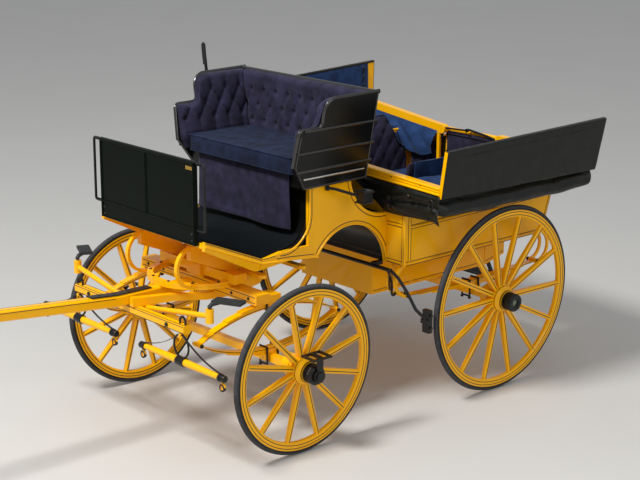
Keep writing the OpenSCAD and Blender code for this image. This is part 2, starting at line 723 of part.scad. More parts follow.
footboard();
dashboard();
boot_panels();
boot_shell();
driver_seat();
driver_cushion();
driver_backrest();
seat_fall();
front_wall();
side_panel_left();
side_panel_right();
rear_panels();
passenger_well();
bench_cushion_left();
bench_cushion_right();
bench_back_left();
bench_back_right();
folded_leather_left();
folded_leather_right();
body_irons();
rear_axle();
rear_springs();
scroll_irons();
brake_gear();
lamp_brackets();
rear_step();
front_axle();
front_springs();
lower_bed();
futchells();
splinter_bar();
tread_steps();
pole();
pole_head();
swingletrees();
hub_steps();
wheel_front_left();
wheel_front_right();
wheel_rear_left();
wheel_rear_right();
tyre_front_left();
tyre_front_right();
tyre_rear_left();
tyre_rear_right();
hub_cap_front_left();
hub_cap_front_right();
hub_cap_rear_left();
hub_cap_rear_right();
rear_door();
hood_left();
hood_right();
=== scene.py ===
import math

import bmesh
import bpy
import numpy as np
from mathutils import Matrix, Vector, noise


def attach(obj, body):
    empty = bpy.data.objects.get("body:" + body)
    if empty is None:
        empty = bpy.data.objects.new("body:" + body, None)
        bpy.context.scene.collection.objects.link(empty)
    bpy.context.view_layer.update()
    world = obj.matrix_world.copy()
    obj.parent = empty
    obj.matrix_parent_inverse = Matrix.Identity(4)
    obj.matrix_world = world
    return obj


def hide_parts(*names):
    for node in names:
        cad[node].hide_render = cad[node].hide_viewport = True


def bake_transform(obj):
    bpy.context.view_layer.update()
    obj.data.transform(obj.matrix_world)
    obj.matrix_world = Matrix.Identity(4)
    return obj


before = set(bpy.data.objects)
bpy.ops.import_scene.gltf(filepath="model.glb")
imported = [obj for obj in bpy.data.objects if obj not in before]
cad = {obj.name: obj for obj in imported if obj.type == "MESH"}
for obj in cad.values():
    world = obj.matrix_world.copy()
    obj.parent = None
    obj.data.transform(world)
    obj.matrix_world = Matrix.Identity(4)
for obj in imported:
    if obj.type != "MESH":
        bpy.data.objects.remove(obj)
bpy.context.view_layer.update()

# ---- Viewpoint ----
# A long lens a little above the seat, from ahead of the carriage's left side.

camera = bpy.data.objects.new("camera", bpy.data.cameras.new("camera"))
camera.data.lens = 86.92
camera.data.sensor_width = 36.0
camera.data.clip_end = 100
camera.location = (6.3676, -4.3813, 3.1411)
aim = Vector((-0.272, 1.5085, 0.762)) - camera.location
camera.rotation_mode = "QUATERNION"
roll = Matrix.Rotation(math.radians(0.144), 3, "Z").to_quaternion()
camera.rotation_quaternion = aim.to_track_quat("-Z", "Y") @ roll
bpy.context.scene.collection.objects.link(camera)
bpy.context.scene.camera = camera

# ---- Painted running gear: the four wheels ----
# Ash spokes and felloes under coach paint, with a steel channel round each rim
# that grips a solid rubber tyre. Fine black lines run round the rims and down the spokes.


def linear(hex_colour):
    """sRGB hex to the linear colour that a shader takes."""
    parts = [int(hex_colour[i:i + 2], 16) / 255 for i in (0, 2, 4)]
    parts = [c / 12.92 if c <= 0.04045 else ((c + 0.055) / 1.055) ** 2.4 for c in parts]
    return (*parts, 1.0)


def finish(name, colour, roughness, **sockets):
    """A new material: its shader's colour, roughness and any other sockets by their names."""
    made = bpy.data.materials.new(name)
    made.use_nodes = True
    shader = made.node_tree.nodes["Principled BSDF"]
    shader.inputs["Base Color"].default_value = linear(colour)
    shader.inputs["Roughness"].default_value = roughness
    for socket, value in sockets.items():
        shader.inputs[socket.replace("_", " ")].default_value = value
    return made


def node(material, kind, inputs=None, **settings):
    """Adds a shader node with its settings; each input takes a value or another node's output."""
    made = material.node_tree.nodes.new("ShaderNode" + kind)
    for key, value in settings.items():
        setattr(made, key, value)
    for key, value in (inputs or {}).items():
        if isinstance(value, bpy.types.NodeSocket):
            material.node_tree.links.new(value, made.inputs[key])
        else:
            made.inputs[key].default_value = value
    return made


def drive(material, socket, output):
    """Feeds a node's output into the material's shader."""
    shader = material.node_tree.nodes["Principled BSDF"]
    material.node_tree.links.new(output, shader.inputs[socket])


def mottle(material, scale, low, high, socket, detail=4.0):
    """Uneven tone or gloss from a noise with features of about 1/scale metres."""
    place = node(material, "TexCoord")
    patch = node(material, "TexNoise", {"Vector": place.outputs["Object"], "Scale": scale, "Detail": detail})
    if isinstance(low, str):
        mixed = node(material, "Mix", {0: patch.outputs["Fac"], 6: linear(low), 7: linear(high)},
                     data_type="RGBA")
        drive(material, socket, mixed.outputs[2])
    else:
        span = node(material, "MapRange", {"Value": patch.outputs["Fac"], "From Min": 0.3, "From Max": 0.7,
                                           "To Min": low, "To Max": high})
        drive(material, socket, span.outputs[0])
    return patch


def roughen(material, height, depth, strength=1.0):
    """Bump of the given depth in metres from a height output."""
    bump = node(material, "Bump", {"Height": height, "Distance": depth, "Strength": strength})
    drive(material, "Normal", bump.outputs["Normal"])


# Brushed and varnished coach enamel: deep even yellow, wet-looking, with brush drag a few mm wide.
yellow_enamel = finish("yellow_coach_enamel", "FBB600", 0.3, Specular_IOR_Level=0.2, Coat_Weight=0.2,
                       Coat_Roughness=0.06)
mottle(yellow_enamel, 5.0, "F6AE00", "FFBC00", "Base Color")
brushed = node(yellow_enamel, "TexNoise", {"Vector": node(yellow_enamel, "TexCoord").outputs["Object"],
                                           "Scale": 260.0, "Detail": 2.0})
roughen(yellow_enamel, brushed.outputs["Fac"], 0.0003, 0.25)

# Fine lining drawn with a sable brush in black enamel: slightly duller than the yellow beneath.
lining = finish("black_lining_enamel", "120E08", 0.35, IOR=1.5)
mottle(lining, 90.0, "0D0A06", "1E170C", "Base Color")

# Blacked forged iron: satin, with a faint hammered surface about 8 mm across.
black_iron = finish("blacked_forged_iron", "0C0C0D", 0.35, Specular_IOR_Level=0.35)
hammered = mottle(black_iron, 120.0, "080809", "151516", "Base Color")
roughen(black_iron, hammered.outputs["Fac"], 0.0006, 0.4)

# Machined steel under old grease: dull grey-green, in tones that change every few millimetres.
greased_steel = finish("greased_turned_steel", "7E8C70", 0.42, Metallic=0.6)
mottle(greased_steel, 160.0, "66735A", "93A085", "Base Color")

# Vulcanised rubber worn grey on the road: matt, scuffed in patches a few cm long.
tyre_rubber = finish("worn_solid_rubber", "3A3A3C", 0.82, Specular_IOR_Level=0.3)
scuff = mottle(tyre_rubber, 26.0, "2A2A2C", "4C4C4E", "Base Color", 8.0)
roughen(tyre_rubber, scuff.outputs["Fac"], 0.0015, 0.5)


def revolve(profile, steps=96, start=0.0, end=2 * math.pi):
    """Verts and faces of a closed (x, radius) profile turned about the X axis."""
    whole = abs(end - start - 2 * math.pi) < 1e-6
    rings = steps if whole else steps + 1
    verts = []
    for i in range(rings):
        a = start + (end - start) * i / steps
        verts += [(x, -r * math.sin(a), r * math.cos(a)) for x, r in profile]
    n = len(profile)
    faces = []
    for i in range(steps):
        j = (i + 1) % rings
        for k in range(n):
            m = (k + 1) % n
            faces.append((i * n + k, i * n + m, j * n + m, j * n + k))
    if not whole:
        faces.append(tuple(range(n)))
        faces.append(tuple((rings - 1) * n + k for k in reversed(range(n))))
    return verts, faces


def sweep(points, outline, closed=False, up=None):
    """Verts and faces of a closed (side, up) outline carried along a line of points.

    up is the direction that the outline's second axis keeps to, or None to turn as little as it can.
    """
    pts = [Vector(p) for p in points]
    count = len(pts)
    verts = []
    lift = None
    for i, p in enumerate(pts):
        before = pts[i - 1] if closed or i else p
        after = pts[(i + 1) % count] if closed or i < count - 1 else p
        if before == p:
            ahead = (after - p).normalized()
        elif after == p:
            ahead = (p - before).normalized()
        else:
            ahead = ((p - before).normalized() + (after - p).normalized()).normalized()
        widen = 1.0
        if before != p and after != p:
            widen = min(1.0 / max(0.3, ahead.dot((after - p).normalized())), 2.5)
        want = Vector(up) if up is not None else (lift or Vector((0, 0, 1)))
        if abs(want.normalized().dot(ahead)) > 0.98 and up is None:
            want = Vector((1, 0, 0))
        side = ahead.cross(want).normalized()
        lift = side.cross(ahead).normalized()
        verts += [tuple(p + side * (s * (widen if up is not None else 1)) + lift * u) for s, u in outline]
    n = len(outline)
    faces = []
    for i in range(count if closed else count - 1):
        j = (i + 1) % count
        for k in range(n):
            m = (k + 1) % n
            faces.append((i * n + k, j * n + k, j * n + m, i * n + m))
    if not closed:
        faces.append(tuple(reversed(range(n))))
        faces.append(tuple((count - 1) * n + k for k in range(n)))
    return verts, faces


def join(parts):
    """Several (verts, faces) as one."""
    verts, faces = [], []
    for more_verts, more_faces in parts:
        base = len(verts)
        verts += [tuple(v) for v in more_verts]
        faces += [tuple(base + k for k in f) for f in more_faces]
    return verts, faces


def moved(part, matrix):
    """A part carried by a matrix; one that mirrors keeps its faces pointing out."""
    verts, faces = part
    verts = [tuple(matrix @ Vector(v)) for v in verts]
    if matrix.to_3x3().determinant() < 0:
        faces = [tuple(reversed(f)) for f in faces]
    return verts, faces


mirror_x = Matrix.Scale(-1, 4, (1, 0, 0))


def pair(part):
    """A part and its mirror image on the carriage's other side."""
    return join([part, moved(part, mirror_x)])


def piece(name, part, material, body, sharp=35):
    """A new piece of the carriage, riding on a body if one is given.

    It is smooth wherever it turns less than sharp degrees.
    """
    mesh = bpy.data.meshes.new(name)
    mesh.from_pydata(part[0], [], part[1])
    mesh.validate()
    bm = bmesh.new()
    bm.from_mesh(mesh)
    bmesh.ops.recalc_face_normals(bm, faces=bm.faces)
    bm.to_mesh(mesh)
    bm.free()
    mesh.materials.append(material)
    mesh.shade_smooth()
    mesh.set_sharp_from_angle(angle=math.radians(sharp))
    made = bpy.data.objects.new(name, mesh)
    bpy.context.scene.collection.objects.link(made)
    if body:
        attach(made, body)
    return made


def dress(name, material, bevel=0.0):
    """Gives a CAD node its finish, and eases its edges as a maker's plane or file would."""
    obj = cad[name]
    for i in range(max(1, len(obj.material_slots))):
        if not obj.material_slots:
            obj.data.materials.append(material)
        obj.material_slots[i].link = "OBJECT"
        obj.material_slots[i].material = material
    if bevel:
        ease = obj.modifiers.new("eased_edges", "BEVEL")
        ease.width = bevel
        ease.segments = 2
        ease.limit_method = "ANGLE"
        ease.angle_limit = math.radians(40)
        ease.harden_normals = True


def band(width, thick):
    """Outline of a flat strip that lies on a surface and stands thick proud of it."""
    return [(-width / 2, -0.0005), (width / 2, -0.0005), (width / 2, thick), (-width / 2, thick)]


# The ways that a surface can face: +X is the carriage's left and -Y its front.
leftward, forward, backward, upward = (1, 0, 0), (0, -1, 0), (0, 1, 0), (0, 0, 1)


def drawn_line(points, width, up, closed=False):
    """A painted line of this width along a surface that faces up."""
    return sweep(points, band(width, 0.0006), closed, up)


def dome(radius, height, rise=4):
    """Closed profile of a low round-headed bolt or button, standing on x = 0."""
    arc = [(height * math.sin(math.pi / 2 * i / rise), radius * math.cos(math.pi / 2 * i / rise))
           for i in range(rise)]
    return [(-0.002, 0.0002), (-0.002, radius)] + arc + [(height, 0.0002)]


front_axle_y = 0.505
rear_axle_y = front_axle_y + 1.467
camber = math.radians(2.6)
dish = 0.016
wheels = {
    # corner: radius, hub height, half track, axle's y, spokes
    "front": (0.457, 0.45654, 0.741, front_axle_y, 12),
    "rear": (0.547, 0.54645, 0.764, rear_axle_y, 14),
}
spoke_foot = 0.062
lining_w = 0.0045
for end, (radius, hub_z, half_track, axle_y, spokes) in wheels.items():
    rim = radius - 0.026
    inner = rim - 0.043
    spoke_top = inner + 0.006
    lean = math.atan(dish / (spoke_top - spoke_foot))
    lines = []
    for side in (1, -1):
        for r in (rim - 0.013, inner + 0.0125):
            flat = [(side * 0.0178, r), (side * 0.0178, r + lining_w * 0.8),
                    (side * 0.0186, r + lining_w * 0.8), (side * 0.0186, r)]
            lines.append(revolve(flat))
    for i in range(spokes):
        turn = Matrix.Rotation((i + 0.5) * 2 * math.pi / spokes, 4, "X")
        stand = turn @ Matrix.Translation((-dish, 0, spoke_foot)) @ Matrix.Rotation(lean, 4, "Y")
        length = spoke_top - spoke_foot - 0.006
        for side in (1, -1):
            run = []
            for k in range(9):
                s = 0.022 + (length - 0.022) * k / 8
                run.append(stand @ Vector((side * (0.0212 - 0.006 * s / length), 0, s)))
            lines.append(drawn_line(run, 0.0042, stand.to_3x3() @ Vector((side, 0, 0))))
    for x, r in ((-0.016 + 0.026, 0.0742), (-0.016 - 0.030, 0.0742), (0.036, 0.0566), (0.040, 0.0566)):
        lines.append(revolve([(x - 0.0012, r - 0.001), (x + 0.0012, r - 0.001), (x + 0.0012, r + 0.0008),
                              (x - 0.0012, r + 0.0008)], 64))
    wheel_lines = join(lines)
    flanges = []
    for side in (1, -1):
        flanges.append(revolve([(side * 0.0146, rim - 0.003), (side * 0.0146, rim + 0.009),
                                (side * 0.0166, rim + 0.0085), (side * 0.0170, rim - 0.003)], 120))
    channel = join(flanges)
    flutes = []
    steps = 144
    ridge = [0.0500 + 0.0016 * math.cos(24 * 2 * math.pi * i / steps) for i in range(steps)]
    for x in (0.0575, 0.0595, 0.0845, 0.0865):
        low = x in (0.0575, 0.0865)
        flutes += [(x, -(0.046 if low else r) * math.sin(2 * math.pi * i / steps),
                    (0.046 if low else r) * math.cos(2 * math.pi * i / steps)) for i, r in enumerate(ridge)]
    flute_faces = [(k * steps + i, k * steps + (i + 1) % steps, (k + 1) * steps + (i + 1) % steps,
                    (k + 1) * steps + i) for k in range(3) for i in range(steps)]
    ribs = (flutes, flute_faces)
    tip = 0.126 if end == "front" else 0.090
    plug = moved(revolve([(0, 0.0002), (0, 0.0255), (0.004, 0.0255), (0.0065, 0.0225), (0.0075, 0.0002)], 48),
                 Matrix.Translation((tip, 0, 0)))
    rim_bead = revolve([(0.1035, 0.030), (0.1035, 0.050), (0.1075, 0.048), (0.1085, 0.040),
                        (0.1075, 0.031)], 64)
    bolts = []
    for i in range(spokes // 2):
        turn = Matrix.Rotation((i + 0.25) * 4 * math.pi / spokes, 4, "X")
        seat = turn @ Matrix.Translation((0.0178, 0, inner + 0.022))
        bolts.append(moved(revolve(dome(0.0065, 0.0028), 12), seat))
    felloe_bolts = join(bolts)
    for side_name, flip in (("left", Matrix.Identity(4)), ("right", mirror_x)):
        corner = f"{end}_{side_name}"
        body = corner + "_wheel"
        hub = flip @ Matrix.Translation((half_track, axle_y, hub_z)) @ Matrix.Rotation(camber, 4, "Y")
        dress(f"wheel_{corner}", yellow_enamel)
        dress(f"tyre_{corner}", tyre_rubber)
        dress(f"hub_cap_{corner}", black_iron)
        piece(f"wheel_lining_{corner}", moved(wheel_lines, hub), lining, body)
        piece(f"rim_channel_{corner}", moved(channel, hub), black_iron, body)
        piece(f"felloe_bolts_{corner}", moved(felloe_bolts, hub), yellow_enamel, body)
        piece(f"cap_flutes_{corner}", moved(ribs, hub), black_iron, body, sharp=80)
        if end == "rear":
            piece(f"cap_bead_{corner}", moved(rim_bead, hub), black_iron, body)
        else:
            body = "fore_carriage"
        nut_metal = greased_steel if end == "rear" else black_iron
        piece(f"axle_nut_{corner}", moved(plug, hub), nut_metal, body)

# ---- Axles and springs ----
# Forged axles under clipped-on elliptic springs in front and half-elliptic springs behind, all
# painted with the wheels. Black U-bolts and nuts hold each spring to its axle.


def square_loop(centre, half_x, half_y, low, high):
    """Corner points of an upright U-bolt's loop, seen along X or Y."""
    x, y = centre
    return [(x - half_x, y - half_y, low), (x + half_x, y + half_y, low), (x + half_x, y + half_y, high),
            (x - half_x, y - half_y, high)]


def round_bar(radius, n=10):
    """Outline of a round bar."""
    return [(radius * math.cos(2 * math.pi * i / n), radius * math.sin(2 * math.pi * i / n))
            for i in range(n)]


def rod(points, radius, up, closed=False):
    """Round iron of this radius bent along a line of points."""
    return sweep(points, round_bar(radius), closed, up)


def stud(place, direction, radius=0.009, height=0.006):
    """A round-headed bolt standing on a surface at a place, facing a direction."""
    turn = Vector((1, 0, 0)).rotation_difference(Vector(direction)).to_matrix().to_4x4()
    return moved(revolve(dome(radius, height), 16), Matrix.Translation(place) @ turn)


def hex_nut(place, direction, across=0.022, thick=0.012):
    """A hexagon nut, across its flats, standing on a surface at a place."""
    turn = Vector((1, 0, 0)).rotation_difference(Vector(direction)).to_matrix().to_4x4()
    r = across / 2 / math.cos(math.pi / 6)
    profile = [(0, 0.0002), (0, r), (thick - 0.001, r), (thick, r - 0.0015), (thick, 0.0002)]
    return moved(revolve(profile, 6), Matrix.Translation(place) @ turn)


for name in ("front_axle", "rear_axle", "front_springs", "rear_springs", "scroll_irons"):
    dress(name, yellow_enamel, 0.0012)

front_spring_x, rear_spring_x = 0.46, 0.52
spring_eye_z = 0.622


def spring_clips(x, y, low, high):
    """Two U-bolts that hold a spring at x, y to what it passes between low and high, with their nuts."""
    clips, nuts = [], []
    for dy in (-0.036, 0.036):
        loop = square_loop((x, y + dy), 0.029, 0, low, high)
        clips.append(rod(loop, 0.0055, backward, closed=True))
        for dx in (-0.029, 0.029):
            nuts.append(hex_nut((x + dx, y + dy, low - 0.006), (0, 0, -1), 0.017, 0.009))
    return clips + nuts


fore_clips = spring_clips(front_spring_x, front_axle_y, 0.428, 0.519)
fore_clips += spring_clips(front_spring_x, front_axle_y, 0.725, 0.772)
rear_clips = spring_clips(rear_spring_x, rear_axle_y, 0.518, 0.613)
piece("front_spring_clips", pair(join(fore_clips)), black_iron, "fore_carriage")
piece("rear_spring_clips", pair(join(rear_clips)), black_iron, "carriage")

# Eye bolts through the spring ends.
front_eyes = []
for dy in (-0.462, 0.462):
    for dx, way in ((0.0285, 1), (-0.0285, -1)):
        front_eyes.append(hex_nut((front_spring_x + dx, front_axle_y + dy, spring_eye_z), (way, 0, 0),
                                  0.019, 0.008))
piece("front_spring_bolts", pair(join(front_eyes)), black_iron, "fore_carriage")
rear_eyes = []
for dy in (-0.545, 0.545):
    for dx, way in ((0.0355, 1), (-0.0355, -1)):
        rear_eyes.append(hex_nut((rear_spring_x + dx, rear_axle_y + dy, spring_eye_z), (way, 0, 0), 0.022,
                                 0.009))
piece("rear_spring_bolts", pair(join(rear_eyes)), black_iron, "carriage")


def leaf_line(x, y0, z0, half, rise, level, out, steps=24):
    """A fine line along one side of a bowed leaf, level above the eyes' line times the bow."""
    r = (half * half + rise * rise) / (2 * rise)
    run = []
    for i in range(steps + 1):
        t = -half * 0.94 + 2 * half * 0.94 * i / steps
        z = math.sqrt(r * r - t * t) - (r - rise)
        run.append((x, y0 + t, z0 + math.copysign(z + abs(level), level)))
    return drawn_line(run, 0.003, (out, 0, 0))


front_lines = []
for x, out in ((0.4822, 1), (0.4378, -1)):
    for level in (0.007, -0.007):
        front_lines.append(leaf_line(x, front_axle_y, spring_eye_z, 0.462, 0.107, level, out))
piece("front_spring_lining", pair(join(front_lines)), lining, "fore_carriage")
rear_lines = []
for x, out in ((0.5422, 1), (0.4978, -1)):
    rear_lines.append(leaf_line(x, rear_axle_y, spring_eye_z, 0.545, 0.013, -0.0035, out))
piece("rear_spring_lining", pair(join(rear_lines)), lining, "carriage")

# ---- Fore-carriage: bed, wheel plate, futchells and splinter bar ----
# Ash members bolted under the fifth wheel, which turns on the kingpin. Painted yellow, edged
# with black lines, with two rubber-topped treads on the splinter bar's ends.

for name in ("lower_bed", "futchells", "splinter_bar", "body_irons"):
    dress(name, yellow_enamel, 0.0025)

# Ribbed tread rubber on iron pads: black, slightly dusty between ribs 12 mm apart.
tread_rubber = finish("ribbed_tread_rubber", "1A1B1C", 0.7, IOR=1.52)
mottle(tread_rubber, 60.0, "121314", "2A2C2D", "Base Color")
dress("tread_steps", tread_rubber, 0.003)
dress("hub_steps", black_iron, 0.0015)
ribs = []
for k in range(5):
    y = -0.026 + 0.013 * k
    rib = sweep([(-0.072, y, 0.014), (0.072, y, 0.014)], [(-0.003, -0.001), (0.003, -0.001), (0.002, 0.003),
                                                          (-0.002, 0.003)], up=upward)
    ribs.append(moved(rib, Matrix.Translation((0.640, front_axle_y - 0.405, 0.872))
                      @ Matrix.Rotation(math.radians(25), 4, "Z")))
piece("tread_ribs", pair(join(ribs)), tread_rubber, "fore_carriage")

bar_y = front_axle_y - 0.550
bar_z = 0.728
fore_lines = []
for dz in (-0.016, 0.016):
    fore_lines.append(drawn_line([(-0.488, bar_y - 0.023, bar_z + dz), (0.488, bar_y - 0.023, bar_z + dz)],
                                 0.0035, forward))
    fore_lines.append(drawn_line([(-0.488, bar_y + dz, bar_z + 0.023), (0.488, bar_y + dz, bar_z + 0.023)],
                                 0.0035, upward))
bed_front_y = front_axle_y - 0.120
for z in (0.776, 0.806):
    fore_lines.append(drawn_line([(-0.495, bed_front_y, z), (0.495, bed_front_y, z)], 0.0035, forward))
piece("fore_carriage_lining", join(fore_lines), lining, "fore_carriage")

bed_bolts = []
for x in (-0.44, -0.30, -0.16, 0.16, 0.30, 0.44):
    bed_bolts.append(stud((x, bed_front_y, 0.791), forward))
for x in (-0.35, 0.35):
    bed_bolts.append(hex_nut((x, bar_y - 0.023, bar_z), forward, 0.02, 0.008))
piece("fore_carriage_bolts", join(bed_bolts), black_iron, "fore_carriage")

# Round-headed bolts through the wheel plate's flange.
plate_bolts = []
for k in range(12):
    a = 2 * math.pi * (k + 0.5) / 12
    plate_bolts.append(stud((0.262 * math.cos(a), front_axle_y - 0.1 + 0.262 * math.sin(a), 0.847), upward))
piece("wheel_plate_bolts", join(plate_bolts), black_iron, "carriage")

# The step bar's iron eyes over the splinter bar take the swingletrees' check straps.
tree_x = 0.46
arch = []
for dx, z in ((-0.022, 0.748), (-0.022, 0.772), (-0.014, 0.786), (0, 0.791), (0.014, 0.786), (0.022, 0.772),
              (0.022, 0.748)):
    arch.append((tree_x + dx, bar_y - 0.004, z))
staple = rod(arch, 0.006, backward)
piece("splinter_bar_staples", pair(staple), black_iron, "fore_carriage")

# ---- Pole ----
# A long ash pole, square with rounded corners, tapering to an iron head that carries the
# harness. Lined along its edges, and plated with iron where it enters the futchells.

dress("pole", yellow_enamel, 0.002)
dress("pole_head", black_iron, 0.001)
pole_rise = math.tan(math.radians(5.2))


def pole_at(reach):
    """Height of the pole's centre line and its half width, reach metres ahead of the front axle."""
    past = max(0.0, reach - 0.64)
    return 0.785 + pole_rise * past, 0.031 - 0.009 * past / 2.44


pole_lines = []
for side in (-1, 1):
    top, flank = [], []
    for k in range(13):
        reach = 0.66 + (3.07 - 0.66) * k / 12
        z, half = pole_at(reach)
        y = front_axle_y - reach
        top.append((side * half * 0.55, y, z + half))
        flank.append((side * half, y, z + half * 0.5))
    pole_lines.append(drawn_line(top, 0.003, upward))
    pole_lines.append(drawn_line(flank, 0.003, (side, 0, 0)))
piece("pole_lining", join(pole_lines), lining, "fore_carriage")

plate_run = [(0, front_axle_y - 0.43, 0.8165), (0, front_axle_y - 0.60, 0.8165),
             (0, front_axle_y - 0.64, 0.8168), (0, front_axle_y - 0.80, 0.8168 + 0.16 * pole_rise)]
pole_plate = [sweep(plate_run, [(-0.027, 0), (0.027, 0), (0.025, 0.005), (-0.025, 0.005)], up=upward)]
for k in range(4):
    pole_plate.append(stud((0, front_axle_y - 0.47 - 0.09 * k, 0.821 + 0.09 * pole_rise * max(0, k - 2)),
                           upward, 0.008, 0.005))
for reach in (0.9, 1.9, 2.9):
    z, half = pole_at(reach)
    y = front_axle_y - reach
    h = half + 0.0012
    hoop = [(-h, y, z - h * 0.7), (-h * 0.7, y, z - h), (h * 0.7, y, z - h), (h, y, z - h * 0.7),
            (h, y, z + h * 0.7), (h * 0.7, y, z + h), (-h * 0.7, y, z + h), (-h, y, z + h * 0.7)]
    if reach == 2.9:
        pole_plate.append(sweep(hoop, [(-0.0012, -0.03), (0.0012, -0.03), (0.0012, 0.03), (-0.0012, 0.03)],
                                closed=True, up=backward))
piece("pole_irons", join(pole_plate), black_iron, "fore_carriage")

# ---- Swingletrees ----
# Turned ash bars that hang below the splinter bar by an iron hoop. Iron ferrules at the
# middle and ends carry the trace eyes; leather check straps run from the hoop to the ends.

dress("swingletrees", yellow_enamel)
tree_y, tree_z = front_axle_y - 0.566, 0.560
ferrules = [moved(revolve([(-0.032, 0.0205), (-0.032, 0.0235), (-0.026, 0.0245), (0.026, 0.0245),
                           (0.032, 0.0235), (0.032, 0.0205)], 32),
                  Matrix.Translation((tree_x, tree_y, tree_z)))]
hoop = [(tree_x + 0.060 * math.cos(a), tree_y, tree_z + 0.079 + 0.060 * math.sin(a))
        for a in [2 * math.pi * i / 40 for i in range(40)]]
ferrules.append(rod(hoop, 0.0056, backward, closed=True))
for way in (-1, 1):
    end_x = tree_x + way * 0.330
    ferrules.append(moved(revolve([(-0.024, 0.0165), (-0.024, 0.0178), (0.018, 0.0182), (0.0215, 0.016),
                                   (0.0225, 0.0002), (0.0201, 0.0002)], 32),
                          Matrix.Translation((end_x, tree_y, tree_z)) @ Matrix.Scale(way, 4, leftward)))
    eye = moved(revolve([(-0.0056, 0.0112), (-0.0056, 0.0204), (0.0056, 0.0204), (0.0056, 0.0112)], 32),
                Matrix.Translation((end_x, tree_y, tree_z - 0.048)) @ Matrix.Rotation(math.pi / 2, 4, "Z"))
    ferrules.append(eye)
piece("swingletree_irons", pair(join(ferrules)), black_iron, "fore_carriage")

# Bridle leather, waxed black: soft sheen, fine grain.
black_strap = finish("waxed_bridle_leather", "101012", 0.45, IOR=1.5)
grain = mottle(black_strap, 400.0, "0B0B0D", "1B1B1E", "Base Color")
roughen(black_strap, grain.outputs["Fac"], 0.0003, 0.4)
straps = []
for way in (-1, 1):
    run = []
    for k in range(13):
        t = k / 12
        run.append((tree_x + way * (0.012 + 0.302 * t), tree_y, tree_z + 0.139 - 0.120 * t
                    - 0.020 * math.sin(math.pi * t)))
    straps.append(sweep(run, [(-0.005, -0.0014), (0.005, -0.0014), (0.005, 0.0014), (-0.005, 0.0014)],
                        up=upward))
    collar = [(tree_x + way * 0.314, tree_y + 0.0195 * math.cos(a), tree_z + 0.0195 * math.sin(a))
              for a in [2 * math.pi * i / 24 for i in range(24)]]
    straps.append(sweep(collar, [(-0.0012, -0.006), (0.0012, -0.006), (0.0012, 0.006), (-0.0012, 0.006)],
                        closed=True, up=leftward))
piece("swingletree_straps", pair(join(straps)), black_strap, "fore_carriage")

# ---- Driver's boot, toe board and dash ----
# Panelled ash box, yellow outside and black within. Half-round mouldings follow its curved
# edges with a black line inside each. The dash is painted leather in a round iron frame.

dress("boot_panels", yellow_enamel, 0.002)
dress("footboard", yellow_enamel, 0.002)
boot_half = 0.455

# Black gloss body paint: deep, slightly green, with a soft varnish reflection.
black_enamel = finish("black_coach_enamel", "0B0A0A", 0.26, Specular_IOR_Level=0.24)
polish = mottle(black_enamel, 4.0, "080908", "12120F", "Base Color")
roughen(black_enamel, polish.outputs["Fac"], 0.001, 0.15)
dress("boot_shell", black_enamel)


def arc(centre, radius, start, end, n=24):
    """(y, z) points of an arc in the carriage's side view, y counted from the front axle, in metres."""
    return [(centre[0] + radius * math.cos(math.radians(start + (end - start) * i / n)),
             centre[1] + radius * math.sin(math.radians(start + (end - start) * i / n)))
            for i in range(n + 1)]


def on_side(x, points):
    """(y, z) points counted from the front axle, set on a plane x across the carriage."""
    return [(x, front_axle_y + y, z) for y, z in points]


def half_round(radius, n=6):
    """Outline of a half-round bead whose flat lies on a surface."""
    return [(radius * math.cos(math.pi * i / n), radius * math.sin(math.pi * i / n) - 0.0004)
            for i in range(n + 1)]


def bead(points, radius, up, closed=False):
    """A half-round moulding of this radius along a surface that faces up."""
    return sweep(points, half_round(radius), closed, up)


heel_centre, heel_r = (0.110, 1.175), 0.170
arch_centre, arch_r = (0.575, 0.797), 0.268
scoop_centre, scoop_r = (0.820, 1.345), 0.245


def boot_edges(inset):
    """The boot side's three shaped edges, inset from the panel's outline."""
    heel = arc(heel_centre, heel_r + inset, 262, 360) + [(0.280 + inset, 1.316)]
    arch = arc(arch_centre, arch_r + inset, 6 if inset < 0.01 else 9, 148)
    scoop = arc(scoop_centre, scoop_r + inset, 187, 274)
    return heel, arch, scoop


beads, drawn = [], []
for line in boot_edges(0.0065):
    beads.append(bead(on_side(boot_half, line), 0.0062, leftward))
for line in boot_edges(0.022):
    drawn.append(drawn_line(on_side(boot_half, line), 0.0045, leftward))
for line in boot_edges(0.0001)[:2]:
    drawn.append(drawn_line(on_side(boot_half + 0.0002, line), 0.003, leftward))
sole = [(0.060, 0.9575), (0.144, 0.953), (0.318, 0.9365)]
beads.append(bead(on_side(boot_half, sole), 0.0055, leftward))
drawn.append(drawn_line(on_side(boot_half, [(y, z + 0.016) for y, z in sole]), 0.004, leftward))
floor_edge = [(-0.404, 1.119), (-0.040, 0.966), (0.060, 0.9575)]
beads.append(bead(on_side(boot_half, floor_edge), 0.0075, leftward))
drawn.append(drawn_line(on_side(boot_half, [(-0.398, 1.136), (-0.045, 0.9865), (0.05, 0.990)]), 0.0035,
                        leftward))
beads.append(bead(on_side(boot_half, [(0.318, 0.9365), (0.345, 0.9300)]), 0.0055, leftward))
piece("boot_mouldings", pair(join(beads)), yellow_enamel, "carriage")
piece("boot_lining", pair(join(drawn)), lining, "carriage")

